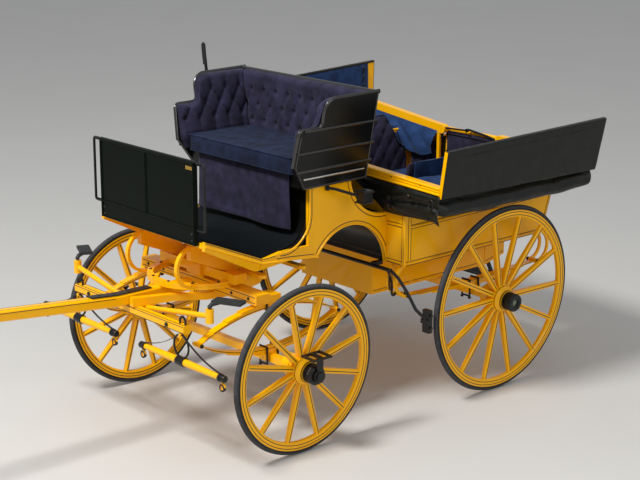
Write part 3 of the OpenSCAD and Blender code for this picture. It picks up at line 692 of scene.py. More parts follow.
# Moulded rubber floor covering: matt blue-black with ribs 14 mm apart, worn greyer in the middle.
mat_rubber = finish("moulded_floor_rubber", "0B0E10", 0.62, Specular_IOR_Level=0.08)
wear = mottle(mat_rubber, 7.0, "07090B", "121619", "Base Color", 6.0)
roughen(mat_rubber, wear.outputs["Fac"], 0.001, 0.3)
floor_run = [(-0.398, 1.1335), (-0.036, 0.9835), (-0.02, 0.9845), (0.100, 1.0055)]
floor_run += arc(heel_centre, heel_r - 0.0015, 274, 320, 8)
mat = [sweep(on_side(0, floor_run), [(-0.428, 0.0008), (-0.428, 0.005), (0.428, 0.005), (0.428, 0.0008)],
             up=upward)]
for k in range(-29, 30):
    x = 0.0142 * k
    rib_run = [(x, front_axle_y + y, z) for y, z in floor_run[:4]]
    mat.append(sweep(rib_run, [(-0.0035, 0.004), (0.0035, 0.004), (0.0025, 0.0068), (-0.0025, 0.0068)],
                     up=upward))
piece("floor_mat", join(mat), mat_rubber, "carriage")

# Patent leather on the dash: near-black bottle green, glassy, over an iron frame.
patent_leather = finish("bottle_green_patent_leather", "070C07", 0.30, Specular_IOR_Level=0.06)
pull = mottle(patent_leather, 9.0, "050905", "0B120B", "Base Color")
roughen(patent_leather, pull.outputs["Fac"], 0.0012, 0.2)
dress("dashboard", patent_leather, 0.0015)
dash_front = front_axle_y - 0.431
frame_bars = []
for z in (1.5375, 1.209):
    frame_bars.append(bead([(-0.410, dash_front, z), (0.410, dash_front, z)], 0.0065, forward))
for x, width in ((-0.405, 0.0075), (0.405, 0.0075), (-0.006, 0.004), (0.006, 0.004)):
    low = 1.122 if abs(x) > 0.1 else 1.209
    frame_bars.append(bead([(x, dash_front, low), (x, dash_front, 1.540)], width, forward))
frame_bars.append(bead([(-0.412, dash_front, 1.124), (0.412, dash_front, 1.124)], 0.005, forward))
for z in (1.535, 1.207):
    frame_bars.append(bead([(-0.410, dash_front + 0.020, z), (0.410, dash_front + 0.020, z)], 0.006,
                           backward))
loop = [(0.395, 1.541), (0.468, 1.541), (0.477, 1.537), (0.4805, 1.528), (0.4805, 1.214), (0.477, 1.206),
        (0.468, 1.202), (0.395, 1.202)]
rails = [rod([(x, dash_front + 0.010, z) for x, z in loop], 0.0072, forward)]
rails.append(rod([(x, dash_front + 0.010, 1.5445) for x in (0.0, 0.2, 0.41)], 0.0065, upward))
dash_irons = pair(join(rails))
piece("dash_frame", join(frame_bars), patent_leather, "carriage")
piece("dash_rails", dash_irons, black_iron, "carriage")
dash_feet = []
for z in (1.140, 1.175):
    dash_feet.append(stud((0.385, dash_front, z), forward, 0.0075, 0.005))
dash_feet.append(sweep([(0.385, front_axle_y - 0.409, 1.230), (0.385, front_axle_y - 0.409, 1.150),
                        (0.385, front_axle_y - 0.370, 1.124), (0.385, front_axle_y - 0.300, 1.095)],
                       [(-0.014, -0.002), (0.014, -0.002), (0.014, 0.003), (-0.014, 0.003)], up=(0, 0.5, 1)))
piece("dash_stays", pair(join(dash_feet)), black_iron, "carriage")

# Polished brass plate, left blank, pinned to the dash's top corner.
brass = finish("polished_brass", "C9A24A", 0.25, Metallic=1.0)
mottle(brass, 60.0, "B98F3C", "D8B55F", "Base Color")
plate = sweep([(0.345, dash_front - 0.0005, 1.512), (0.398, dash_front - 0.0005, 1.512)],
              [(-0.010, 0), (0.010, 0), (0.0092, 0.0022), (-0.0092, 0.0022)], up=forward)
pins = [stud((x, dash_front - 0.0025, 1.512), forward, 0.0018, 0.0012) for x in (0.350, 0.393)]
piece("blank_plate", join([plate] + pins), brass, "carriage")

# ---- Driver's seat ----
# Black-painted seat with flared sides that sweep up to the back. Half-round beads run along
# its outside, with a bright plated strip near the foot and a leather roll round the top edge.

dress("driver_seat", black_enamel, 0.002)
seat_z = 1.322
flare = math.radians(11)
seat_lap = 0.005
plate_out = 0.021
seat_side = Matrix.Translation((0.462 - seat_lap, front_axle_y, seat_z)) @ Matrix.Rotation(flare, 4, "Y")


def along_side(points, out=plate_out):
    """(y, rise) points on the flared seat side, in the carriage's frame."""
    return [tuple(seat_side @ Vector((out, y, w))) for y, w in points]


side_normal = seat_side.to_3x3() @ Vector((1, 0, 0))
seat_back_y = 0.667
side_beads = []
for rise, start, radius in ((0.104, 0.154, 0.0085), (0.206, 0.143, 0.0075), (0.326, 0.176, 0.008)):
    side_beads.append(bead(along_side([(start, rise), (seat_back_y + 0.014, rise)]), radius, side_normal))
top_line = arc((0.176, 0.300), 0.026, 180, 90, 8) + arc((0.270, 0.362), 0.036, 270, 360, 8)
top_line += arc((0.376, 0.410), 0.070, 180, 90, 10) + [(seat_back_y + 0.012, 0.486)]
front_line = [(0.221, 0.002), (0.139, 0.130)] + top_line
side_beads.append(bead(along_side([(y + 0.010, w) for y, w in front_line[:2]] + [(0.160, 0.300)]), 0.004,
                       side_normal))
side_beads.append(bead(along_side([(0.226, 0.006), (seat_back_y, 0.006)]), 0.006, side_normal))
side_beads.append(bead(along_side([(seat_back_y - 0.004, 0.0), (seat_back_y - 0.004, 0.484)]), 0.004,
                       side_normal))
oval = [(1.25 * s, 0.9 * u) for s, u in round_bar(0.0105, 12)]
side_beads.append(sweep(along_side(front_line[1:], plate_out / 2), oval, up=side_normal))
# Beading polished by hands and coats: glossier than the body paint, so each bead catches a thin line of
# light. Its black is also set lighter than the body black, a painted highlight along the beads.
glossy_bead_painted_highlight = finish("polished_beading_painted_highlight", "12110F", 0.24, Specular_IOR_Level=0.75, Coat_Weight=0.3)
mottle(glossy_bead_painted_highlight, 60.0, "0D0C0B", "1D1B18", "Base Color")
piece("seat_mouldings", pair(join(side_beads)), glossy_bead_painted_highlight, "carriage")
back_top_half = 0.462 + math.tan(flare) * 0.472
back_roll = sweep([(-back_top_half, front_axle_y + 0.656, seat_z + 0.474),
                   (back_top_half, front_axle_y + 0.656, seat_z + 0.474)], round_bar(0.0115, 12),
                  up=upward)
back_beads = [bead([(-w, front_axle_y + 0.662, seat_z + rise), (w, front_axle_y + 0.662, seat_z + rise)],
                   0.0055, backward) for rise, w in ((0.100, 0.480), (0.203, 0.500), (0.320, 0.524))]
piece("seat_back_mouldings", join([back_roll] + back_beads), glossy_bead_painted_highlight, "carriage")

# Nickel-plated half-round strip: near-white, mirror-like with fine polishing scratches.
nickel = finish("nickel_plated_strip", "DAD8D2", 0.12, Metallic=1.0)
mottle(nickel, 200.0, "CFCDC6", "E6E4DF", "Base Color")
bright = bead(along_side([(0.212, 0.058), (0.640, 0.058)]), 0.006, side_normal)
piece("seat_bright_strip", pair(bright), nickel, "carriage")

# ---- Buttoned cloth ----
# Wool broadcloth over horsehair, drawn down with covered buttons in diamonds. The folds run
# from button to button and fan out upright at the edges; each pad's rim rolls over its board.

# Milled wool broadcloth: dark purple-navy, soft sheen, threads 1.6 mm apart so that they show.
broadcloth = finish("purple_navy_broadcloth", "241F38", 0.85, Specular_IOR_Level=0.2, Sheen_Weight=0.10,
                    Sheen_Roughness=0.4)


def weave(cloth, thread, low, high, depth):
    """Over-and-under threads this far apart in metres, with faded patches a few cm wide."""
    place = node(cloth, "TexCoord")
    bands = []
    for direction in ("X", "Z", "Y"):
        bands.append(node(cloth, "TexWave",
                          {"Vector": place.outputs["Object"], "Scale": 2 * math.pi / 20 / thread,
                           "Distortion": 0.15, "Detail": 1.0}, bands_direction=direction))
    crossed = node(cloth, "Math", {0: bands[0].outputs["Fac"], 1: bands[1].outputs["Fac"]},
                   operation="MAXIMUM")
    threads = node(cloth, "Math", {0: crossed.outputs[0], 1: bands[2].outputs["Fac"]}, operation="ADD")
    patch = node(cloth, "TexNoise", {"Vector": place.outputs["Object"], "Scale": 14.0, "Detail": 5.0})
    tone = node(cloth, "Math", {0: threads.outputs[0], 1: 0.04, 2: patch.outputs["Fac"]},
                operation="MULTIPLY_ADD")
    span = node(cloth, "MapRange", {"Value": tone.outputs[0], "From Min": 0.38, "From Max": 0.72})
    mixed = node(cloth, "Mix", {0: span.outputs[0], 6: linear(low), 7: linear(high)}, data_type="RGBA")
    drive(cloth, "Base Color", mixed.outputs[2])
    roughen(cloth, threads.outputs[0], depth, 0.25)


weave(broadcloth, 0.0016, "1A1828", "2D2A42", 0.0003)


def tufts(x, h, across, rows, lift, sink, low, high):
    """How far buttoned cloth stands up at x along and h up a pad, in metres.

    across is the buttons' spacing, rows the heights of their rows, low and high the pad's edges.
    """
    step = rows[1] - rows[0]
    level = (h - rows[0]) / step
    if rows[0] <= h <= rows[-1]:
        a = x / across + level / 2
        b = x / across - level / 2
        puff = (abs(math.sin(math.pi * a)) * abs(math.sin(math.pi * b))) ** 0.36
        fade = 0.0
    else:
        near = 0 if h < rows[0] else len(rows) - 1
        shift = 0.5 * (near % 2)
        past, margin = (rows[0] - h, rows[0] - low) if h < rows[0] else (h - rows[-1], high - rows[-1])
        fade = min(1.0, past / max(0.02, margin))
        puff = abs(math.sin(math.pi * (x / across + shift))) ** 0.72
        puff = puff * (1 - fade) + 0.9 * fade
    dip = 0.0
    for i, row in enumerate(rows):
        if abs(h - row) < 0.04:
            shift = 0.5 * (i % 2)
            off = (x / across + shift) - round(x / across + shift)
            d2 = (off * across) ** 2 + (h - row) ** 2
            dip = max(dip, math.exp(-d2 / (2 * 0.010 ** 2)))
    return lift * puff - sink * dip


def buttoned_pad(name, width_at, low, high_at, depth, across, rows, place, buttons_in, slack=0.006,
                 cell=0.006, lift=0.010, swell=None, offset=0.0):
    """A buttoned pad over the outline between width_at's two edges and low to high_at.

    place turns (along, up, out) into the carriage's frame.
    """
    tall = max(high_at(u) for u in np.linspace(*width_at(low), 9)) - low
    left0, right0 = width_at(low)
    nu = max(12, int((right0 - left0) / cell))
    nv = max(12, int(tall / cell))
    verts, faces = [], []
    for j in range(nv + 1):
        for i in range(nu + 1):
            t = j / nv
            u0 = left0 + (right0 - left0) * i / nu
            h = low + (high_at(u0) - low) * t
            left, right = width_at(h)
            x = left + (right - left) * i / nu
            edge = min(i / nu * (right - left), (1 - i / nu) * (right - left), (1 - t) * (high_at(u0) - low))
            edge = min(1.0, max(0.0, edge) / 0.034)
            roll = math.sqrt(max(0.0, 1 - (1 - edge) ** 2))
            stand = depth + (swell(x, h) if swell else 0)
            stand = (stand + tufts(x + offset, h, across, rows, lift, 0.016, low, high_at(u0))) * roll
            stand += slack * (noise.noise(Vector((x * 9, h * 9, depth * 50))) * 0.5) * roll
            verts.append(place(x, h, max(0.001, stand)))
    back = len(verts)
    for j in range(nv + 1):
        for i in range(nu + 1):
            t = j / nv
            u0 = left0 + (right0 - left0) * i / nu
            h = low + (high_at(u0) - low) * t
            left, right = width_at(h)
            verts.append(place(left + (right - left) * i / nu, h, 0.0))
    row = nu + 1
    for j in range(nv):
        for i in range(nu):
            a = j * row + i
            faces.append((a, a + 1, a + row + 1, a + row))
            faces.append((back + a + row, back + a + row + 1, back + a + 1, back + a))
    rim = [i for i in range(nu)] + [j * row + nu for j in range(nv)]
    rim += [nv * row + i for i in range(nu, 0, -1)] + [j * row for j in range(nv, 0, -1)]
    for k, a in enumerate(rim):
        b = rim[(k + 1) % len(rim)]
        faces.append((a, back + a, back + b, b))
    pad = piece(name, (verts, faces), broadcloth, "carriage", sharp=75)
    knobs = []
    for i, h in enumerate(rows):
        shift = 0.5 * (i % 2)
        for k in range(-12, 13):
            x = (k - shift) * across - offset
            left, right = width_at(h)
            if left + buttons_in < x < right - buttons_in and h < high_at(x) - buttons_in:
                out = depth + (swell(x, h) if swell else 0) - 0.0150
                base = Vector(place(x, h, out))
                tip = Vector(place(x, h, out + 0.01)) - base
                knobs.append(stud(base, tip, 0.0085, 0.0050))
    piece(name + "_buttons", join(knobs), broadcloth, "carriage")
    return pad


side_rows = (0.240, 0.318, 0.396)


def side_pad_top(y):
    """Height of the side pad's top over the seat's underside: the arm, then the sweep up to the back."""
    y = min(max(y, 0.152), 0.66)
    if y < 0.176:
        return 0.300 + math.sqrt(max(0.0, 0.026 ** 2 - (0.176 - y) ** 2))
    if y < 0.270:
        return 0.326
    if y < 0.306:
        return 0.362 - math.sqrt(max(0.0, 0.036 ** 2 - (y - 0.270) ** 2)) + 0.012 * (y - 0.270) / 0.036
    if y < 0.316:
        return 0.374 + 0.062 * (y - 0.306) / 0.010
    if y < 0.376:
        return 0.410 + math.sqrt(max(0.0, 0.070 ** 2 - (0.376 - y) ** 2))
    return 0.480 + 0.004 * (y - 0.376)


def side_pad_ends(h):
    """The side pad's front and rear edges: its front foot is cut back with the seat's shape."""
    return (0.152 + max(0.0, 0.130 - h) * 0.4, 0.640)


def side_swell(y, h):
    """The stuffing thins out towards the cushion."""
    return -0.022 * max(0.0, (0.170 - h) / 0.10)


for side_name, flip in (("left", Matrix.Identity(4)), ("right", mirror_x)):
    def on_plate(y, h, out, flip=flip):
        return tuple(flip @ seat_side @ Vector((-out - 0.0006, y, h)))

    pad = buttoned_pad(f"backrest_side_{side_name}", side_pad_ends, 0.078, side_pad_top, 0.030, 0.100,
                       side_rows, on_plate, 0.02, swell=side_swell, offset=0.02, lift=0.016)
    if side_name == "left":
        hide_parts("driver_backrest")


def back_ends(h):
    """The rear pad's two edges, inside the flared sides."""
    half = 0.462 + math.tan(flare) * h - 0.034
    return (-half, half)


def on_back(x, h, out):
    return (x, front_axle_y + 0.6496 - out, seat_z + h)


buttoned_pad("backrest_rear", back_ends, 0.085, lambda x: 0.476, 0.034, 0.104, (0.198, 0.286, 0.374),
             on_back, 0.05)

# ---- Driver's cushion and seat fall ----
# A boxed cushion of smooth navy cloth, stuffed until its faces crown, with corded seams top and
# bottom. The fall is a lined cloth apron that hangs from the seat board over the boot's front.

# Smooth navy melton: darker and closer woven than the pads, threads drawn 1.8 mm apart to show.
melton = finish("navy_melton", "10172B", 0.8, Specular_IOR_Level=0.2, Sheen_Weight=0.05, Sheen_Roughness=0.4)
weave(melton, 0.0018, "0D1426", "1A243F", 0.0002)


def boxed_cushion(name, low, high, cell, cap, cloth, body, frames=20):
    """A stuffed box with corded seams: cloth blown up between pinned seams, resting flat on its board."""
    low, high = Vector(low), Vector(high)
    centre, half = (low + high) / 2, (high - low) / 2
    nx, ny, nz = (max(3, round(2 * half[i] / cell)) for i in range(3))
    round_off = 0.022

    def plan(u, v):
        x, y = u * half.x, v * half.y
        over_x = abs(x) - (half.x - round_off)
        over_y = abs(y) - (half.y - round_off)
        if over_x > 0 and over_y > 0:
            far = math.hypot(over_x, over_y)
            keep = max(over_x, over_y) / far if far > 0 else 1
            x = math.copysign(half.x - round_off + over_x * keep, x)
            y = math.copysign(half.y - round_off + over_y * keep, y)
        return x, y

    verts, faces, seam = [], [], []
    index = {}

    def vert(i, j, k):
        if (i, j, k) not in index:
            x, y = plan(2 * i / nx - 1, 2 * j / ny - 1)
            index[i, j, k] = len(verts)
            verts.append((centre.x + x, centre.y + y, low.z + 2 * half.z * k / nz))
            if k in (0, nz) and (i in (0, nx) or j in (0, ny)):
                seam.append(index[i, j, k])
        return index[i, j, k]

    for k in (0, nz):
        for i in range(nx):
            for j in range(ny):
                quad = [vert(i, j, k), vert(i + 1, j, k), vert(i + 1, j + 1, k), vert(i, j + 1, k)]
                faces.append(quad if k else quad[::-1])
    for k in range(nz):
        for i in range(nx):
            faces.append([vert(i, 0, k), vert(i + 1, 0, k), vert(i + 1, 0, k + 1), vert(i, 0, k + 1)])
            faces.append([vert(i + 1, ny, k), vert(i, ny, k), vert(i, ny, k + 1), vert(i + 1, ny, k + 1)])
        for j in range(ny):
            faces.append([vert(0, j + 1, k), vert(0, j, k), vert(0, j, k + 1), vert(0, j + 1, k + 1)])
            faces.append([vert(nx, j, k), vert(nx, j + 1, k), vert(nx, j + 1, k + 1), vert(nx, j, k + 1)])
    cushion = piece(name, (verts, faces), cloth, body, sharp=60)
    rest = [Vector(v) for v in verts]
    held = cushion.vertex_groups.new(name="seams")
    held.add(seam, 1.0, "REPLACE")
    blow = cushion.modifiers.new("stuffing", "CLOTH")
    blow.settings.use_pressure = True
    blow.settings.uniform_pressure_force = 4.0
    blow.settings.effector_weights.gravity = 0.0
    blow.settings.vertex_group_mass = "seams"
    blow.settings.quality = 6
    blow.settings.tension_stiffness = 12
    blow.settings.compression_stiffness = 12
    blow.point_cache.frame_start, blow.point_cache.frame_end = 1, frames
    for frame_number in range(1, frames + 1):
        bpy.context.scene.frame_set(frame_number)
    shaped = cushion.evaluated_get(bpy.context.evaluated_depsgraph_get())
    blown = [v.co.copy() for v in shaped.data.vertices]
    cushion.modifiers.remove(blow)
    bpy.context.scene.frame_set(1)
    for v, was, now in zip(cushion.data.vertices, rest, blown):
        shift = now - was
        if shift.length > cap:
            shift *= cap / shift.length
        if was.z < low.z + 1e-4:
            shift.z = 0.0
        v.co = was + shift
    for v in cushion.data.vertices:
        if v.index not in seam and v.co.z > low.z + 0.01:
            v.co.z += 0.0022 * noise.noise(v.co * 11) + 0.0012 * noise.noise(v.co * 31)
    smooth = cushion.modifiers.new("close_cloth", "SUBSURF")
    smooth.levels = smooth.render_levels = 1
    cords = []
    for z in (low.z, high.z):
        edge = [(2 * i / nx - 1, -1) for i in range(nx)] + [(1, 2 * j / ny - 1) for j in range(ny)]
        edge += [(1 - 2 * i / nx, 1) for i in range(nx)] + [(-1, 1 - 2 * j / ny) for j in range(ny)]
        ring = [plan(u, v) for u, v in edge]
        raised = z + (0.0035 if z == low.z else 0)
        cord = [(centre.x + x, centre.y + y, raised) for x, y in ring]
        cords.append(sweep(cord, round_bar(0.0038, 8), closed=True, up=upward))
    piece(name + "_cord", join(cords), cloth, body, sharp=60)
    return cushion


driver_cushion = boxed_cushion("driver_cushion_pad", (-0.437, front_axle_y + 0.172, 1.3965),
                               (0.437, front_axle_y + 0.585, 1.484), 0.012, 0.024, melton,
                               "carriage")
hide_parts("driver_cushion")


def grid_faces(rows, cols):
    """The quads of a sheet whose verts were listed row by row."""
    wide = cols + 1
    return [(j * wide + i, j * wide + i + 1, (j + 1) * wide + i + 1, (j + 1) * wide + i)
            for j in range(rows) for i in range(cols)]


fall_w, fall_h = 0.770, 0.306
hem_start = 0.885
fall_verts = []
cols, rows = 80, 34
for j in range(rows + 1):
    t = j / rows
    for i in range(cols + 1):
        s = i / cols
        x = -fall_w / 2 + fall_w * s
        wave = 0.010 * math.sin(7.5 * s + 1.0) + 0.006 * math.sin(19 * s + 0.6)
        wave += 0.012 * noise.noise(Vector((s * 5, t * 2, 1.7)))
        end_curl = 0.020 * max(0, (s - 0.86) / 0.14) ** 2 + 0.012 * max(0, (0.08 - s) / 0.08) ** 2
        hem = 0.0022 if t > hem_start else 0.0
        y = front_axle_y + 0.207 - 0.010 * math.sqrt(t) - t * wave * 0.55 + t * end_curl - hem
        z = 1.392 - fall_h * t * (1 - 0.012 * s)
        fall_verts.append((x + 0.006 * t * (s - 0.5), y, z))
fall_faces = grid_faces(rows, cols)
fall = piece("seat_fall_cloth", (fall_verts, fall_faces), broadcloth, "carriage", sharp=70)
thicken = fall.modifiers.new("two_layers_of_cloth", "SOLIDIFY")
thicken.thickness = 0.003
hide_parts("seat_fall")
hem_row = int(rows * hem_start) * (cols + 1)
hem_run = [(x, y - 0.0012, z) for x, y, z in fall_verts[hem_row:hem_row + cols + 1]]
piece("seat_fall_hem", sweep(hem_run, half_round(0.0016, 4), up=forward), broadcloth, "carriage")

# ---- Passenger body ----
# Yellow-painted tulipwood panels on ash pillars. Half-round mouldings frame each panel, with a
# black line along each side of them; the top rail is stepped. A deep well drops between the benches.

for name in ("front_wall", "side_panel_left", "side_panel_right", "rear_panels"):
    dress(name, yellow_enamel, 0.002)

# Plain varnished paint for inside the well: the same yellow, made darker and duller as painted shade, in
# uneven patches. No piece is given it; the well keeps the coach enamel.
well_painted_shade = finish("well_yellow_painted_shade", "C98F10", 0.5, IOR=1.5)
mottle(well_painted_shade, 12.0, "B5800E", "D59A18", "Base Color", 7.0)
dress("passenger_well", yellow_enamel, 0.002)
body_half = 0.600
wall_front = 0.845
wall_y = front_axle_y + wall_front
side_rails, side_lines = [], []


def framed(points, radius, out, put):
    """A moulding along a line with a black line on both sides of it."""
    side_rails.append(bead(put(points), radius, out))
    rise = radius + 0.0035
    for way in (-1, 1):
        shifted = []
        for i, (a, z) in enumerate(points):
            b = points[min(i + 1, len(points) - 1)]
            c = points[max(i - 1, 0)]
            run = Vector((b[0] - c[0], b[1] - c[1]))
            run.normalize()
            shifted.append((a - run.y * way * rise, z + run.x * way * rise))
        side_lines.append(drawn_line(put(shifted), 0.0035, out))


def on_flank(points):
    """(y, z) points on the left side panel's face."""
    return on_side(body_half, points)


def on_wall(points):
    """(x, z) points on the front wall's face."""
    return [(x, wall_y, z) for x, z in points]


# Side: corner pillar, mid rail, bottom rail and the raked rear edge.
framed([(0.884, 0.836), (0.884, 1.235)], 0.006, leftward, on_flank)
framed([(0.884, 1.030), (1.995, 1.045)], 0.007, leftward, on_flank)
framed([(0.860, 0.826), (1.983, 0.826)], 0.007, leftward, on_flank)
framed([(1.986, 0.835), (2.049, 1.030), (2.049, 1.230)], 0.005, leftward, on_flank)
side_rails.append(bead(on_flank([(0.846, 0.818), (0.846, 1.255)]), 0.005, leftward))
# Front wall beside the boot.
framed([(0.588, 0.826), (0.588, 1.250)], 0.005, forward, on_wall)
framed([(0.462, 1.040), (0.580, 1.040)], 0.006, forward, on_wall)
framed([(0.462, 0.828), (0.580, 0.828)], 0.006, forward, on_wall)
framed([(0.464, 1.225), (0.580, 1.225)], 0.005, forward, on_wall)
piece("body_mouldings", pair(join(side_rails)), yellow_enamel, "carriage")
piece("body_lining", pair(join(side_lines)), lining, "carriage")

# Stepped top rails: three beads along the front and the sides, proud of the panels.
top_rails = []
for dy, z, r in ((0.0, 1.268, 0.010), (-0.012, 1.256, 0.007), (-0.004, 1.281, 0.006)):
    y = wall_y + dy
    top_rails.append(sweep([(0.235, y, z), (0.598, y, z)], round_bar(r, 12), up=upward))
for dx, z, r in ((0.0, 1.262, 0.011), (-0.012, 1.270, 0.008)):
    top_rails.append(sweep([(0.592 + dx, front_axle_y + 0.85, z), (0.592 + dx, front_axle_y + 2.055, z)],
                           round_bar(r, 12), up=upward))
piece("body_top_rails", pair(join(top_rails)), yellow_enamel, "carriage")

# Black-painted front wall behind the wheel arch, where mud is thrown.
arch_y = wall_y - 0.0006
arch_back = sweep([(-0.432, arch_y, 0.938), (0.432, arch_y, 0.938)],
                  [(-0.110, 0), (0.110, 0), (0.110, 0.0014), (-0.110, 0.0014)], up=forward)
piece("arch_back_panel", arch_back, black_enamel, "carriage")

# Well: corner beads down its sides and along its foot.
well_rails, well_lines = [], []
for run in ([(0.893, 0.588), (1.826, 0.588), (1.990, 0.628)], [(0.893, 0.800), (1.990, 0.800)]):
    well_rails.append(bead(on_side(0.300, run), 0.005, leftward))
    well_lines.append(drawn_line(on_side(0.300, [(y, z + 0.011) for y, z in run]), 0.0035, leftward))
for y in (0.893, 1.200, 1.520, 1.826):
    well_rails.append(bead(on_side(0.300, [(y, 0.590), (y, 0.800)]), 0.005, leftward))
piece("well_mouldings", pair(join(well_rails)), yellow_enamel, "carriage")
piece("well_lining", pair(join(well_lines)), lining, "carriage")
well_mat = sweep([(0, front_axle_y + 0.902, 0.5955), (0, front_axle_y + 1.815, 0.5955)],
                 [(-0.281, 0), (0.281, 0), (0.281, 0.004), (-0.281, 0.004)], up=upward)
piece("well_floor_mat", well_mat, mat_rubber, "carriage")

# ---- Benches ----
# Facing benches down each side: mid-blue boxed cushions on boards, and buttoned purple-navy
# backs that stand against the side panels, rolled at the top.

# Mid-blue wool cloth for the passenger seats and hood lining, threads drawn 1.8 mm apart to show.
blue_wool = finish("mid_blue_wool", "1D3660", 0.85, Specular_IOR_Level=0.2, Sheen_Weight=0.08,
                   Sheen_Roughness=0.4)
weave(blue_wool, 0.0018, "162A4C", "24406C", 0.0003)

for side_name, way in (("left", 1), ("right", -1)):
    xs = sorted((way * 0.304, way * 0.513))
    seat = boxed_cushion(f"bench_pad_{side_name}", (xs[0], front_axle_y + 0.874, 0.9495),
                         (xs[1], front_axle_y + 1.986, 1.022), 0.014, 0.020, blue_wool,
                         "carriage")
    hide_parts(f"bench_cushion_{side_name}")

    def on_bench_back(y, h, out, way=way):
        return (way * (0.5768 - out + 0.22 * max(0.0, h - 0.284)), front_axle_y + y, 0.968 + h)

    def bench_back_top(y):
        fall = min(1.0, max(0.0, (y - 1.800) / 0.140))
        return 0.415 - 0.215 * fall * fall * (3 - 2 * fall)

    back_pad = buttoned_pad(f"bench_back_pad_{side_name}", lambda h: (0.871, 2.000), 0.0, bench_back_top,
                            0.030, 0.102, (0.075, 0.150, 0.225, 0.300, 0.365), on_bench_back, 0.03,
                            offset=0.0)
    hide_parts(f"bench_back_{side_name}")

    def on_rear_panel(x, h, out, way=way):
        return (way * x, front_axle_y + 2.036 - out, 0.985 + h)

    buttoned_pad(f"rear_corner_pad_{side_name}", lambda h: (0.290, 0.540), 0.0, lambda x: 0.232, 0.024,
                 0.102, (0.060, 0.125, 0.190), on_rear_panel, 0.03, offset=0.0)

# ---- Hood, folded out in two halves ----
# Yellow pillars hinge at the middle of each end and carry a roof board each. The boards are
# covered outside in black enamelled leather and lined inside in blue cloth; the right half
# rests a little raised on its folds.

hinge_x, hinge_z = 0.240, 1.314
hood_hinge = Vector((hinge_x, 0, hinge_z))
board_corner = Vector((0.872, front_axle_y + 0.815, 1.252))
board_t, board_w, board_h = 0.022, 1.217, 0.3036
board_rake = 0.042
board_lean, board_splay, right_rest = math.radians(10), math.radians(2), math.radians(9)
hood_place = {
    "left": Matrix.Identity(4),
    "right": mirror_x @ Matrix.Translation(hood_hinge) @ Matrix.Rotation(-right_rest, 4, "Y")
    @ Matrix.Translation(-hood_hinge),
}
board_place = (Matrix.Translation(board_corner) @ Matrix.Rotation(-board_splay, 4, "Z")
               @ Matrix.Rotation(board_lean, 4, "Y"))

# Enamelled hood leather: black-green, satin, crazed and dusty where it folds; grain about 2 mm.
hood_leather = finish("enamelled_hood_leather", "121411", 0.34, Specular_IOR_Level=0.26)
crazing = mottle(hood_leather, 18.0, "0B0C0A", "1E211C", "Base Color", 9.0)
pores = node(hood_leather, "TexVoronoi", {"Vector": node(hood_leather, "TexCoord").outputs["Object"],
                                          "Scale": 420.0}, feature="DISTANCE_TO_EDGE")
surface = node(hood_leather, "Math", {0: crazing.outputs["Fac"], 1: pores.outputs["Distance"]},
               operation="ADD")
roughen(hood_leather, surface.outputs[0], 0.0012, 0.45)
dulled = node(hood_leather, "MapRange", {"Value": crazing.outputs["Fac"], "From Min": 0.35, "From Max": 0.65,
                                         "To Min": 0.27, "To Max": 0.50})
drive(hood_leather, "Roughness", dulled.outputs[0])


def board_front(w):
    """How far the front edge, which leans back a little, starts along the board."""
    return 0.003 * (1 - min(1.0, w / (board_h - board_rake)))


def board_rear(w):
    """How far back the rear edge reaches; it splays as it rises."""
    return board_w + 0.005 * min(1.0, w / 0.022) + 0.014 * max(0.0, w - 0.022) / (board_h - 0.022)


def board_top(y):
    """The roof board's height, which rises towards the rear."""
    return board_h - board_rake * (1 - y / (board_w + 0.019))


def on_board(u, y, w):
    """A place u out from the roof board's inner face, y along it and w up it."""
    return tuple(board_place @ Vector((u, y, w)))


# Outside cover: down the face, over the top edge and a little way inside.
cover_cols, cover_path = 90, []
for k in range(30):
    cover_path.append((board_t + 0.0016, (k / 29, -0.002)))
for k in range(1, 7):
    a = math.pi / 2 * k / 6
    cover_path.append((board_t - 0.004 + 0.0056 * math.cos(a), (1, -0.002 + 0.0036 * math.sin(a))))
cover_path += [(0.010, (1, 0.0016)), (0.002, (1, 0.0016)), (-0.0016, (1, -0.002)), (-0.0016, (1, -0.010))]
cover_verts = []
for u, (share, past) in cover_path:
    for i in range(cover_cols + 1):
        y = board_w * i / cover_cols
        w = board_top(y) * share + past
        y = board_front(w) + 0.0008 + (board_rear(w) + 0.0004 - board_front(w)) * i / cover_cols
        ripple = 0.0014 * (noise.noise(Vector((y * 7, w * 9, 3.1))) + 1) if u > board_t else 0
        cover_verts.append(on_board(u + ripple, y, w))
board_trim = []
trim_run = [(0.004 + k * 0.1, board_top(0.004 + k * 0.1) - 0.040) for k in range(13)]
for drop in (0.0, 0.006):
    board_trim.append(sweep([on_board(board_t + 0.0030, y, w - drop) for y, w in trim_run],
                            half_round(0.0022, 4), up=board_place.to_3x3() @ Vector((1, 0, 0))))
edge_run = [(board_rear(w) + 0.0006, w) for w in (0.0, 0.01, 0.022, 0.10, 0.18, 0.24, board_h)]
lap = board_t / 2 + 0.001
board_trim.append(sweep([on_board(board_t / 2, y, w) for y, w in edge_run],
                        [(-lap, -0.001), (lap, -0.001), (lap, 0.0016), (-lap, 0.0016)], up=backward))
lining_rows, lining_cols = 24, 80
lined_verts = []
for j in range(lining_rows + 1):
    for i in range(lining_cols + 1):
        y = 0.022 + (board_w - 0.060) * i / lining_cols
        w = 0.006 + (board_top(y) - 0.016) * j / lining_rows
        soft = 0.0016 * noise.noise(Vector((y * 5, w * 8, 7.7)))
        edge = min(1.0, min(i, lining_cols - i, j, lining_rows - j) / 2.0)
        lined_verts.append(on_board(-0.0008 - edge * (0.0028 + soft), y, w))
latch = []
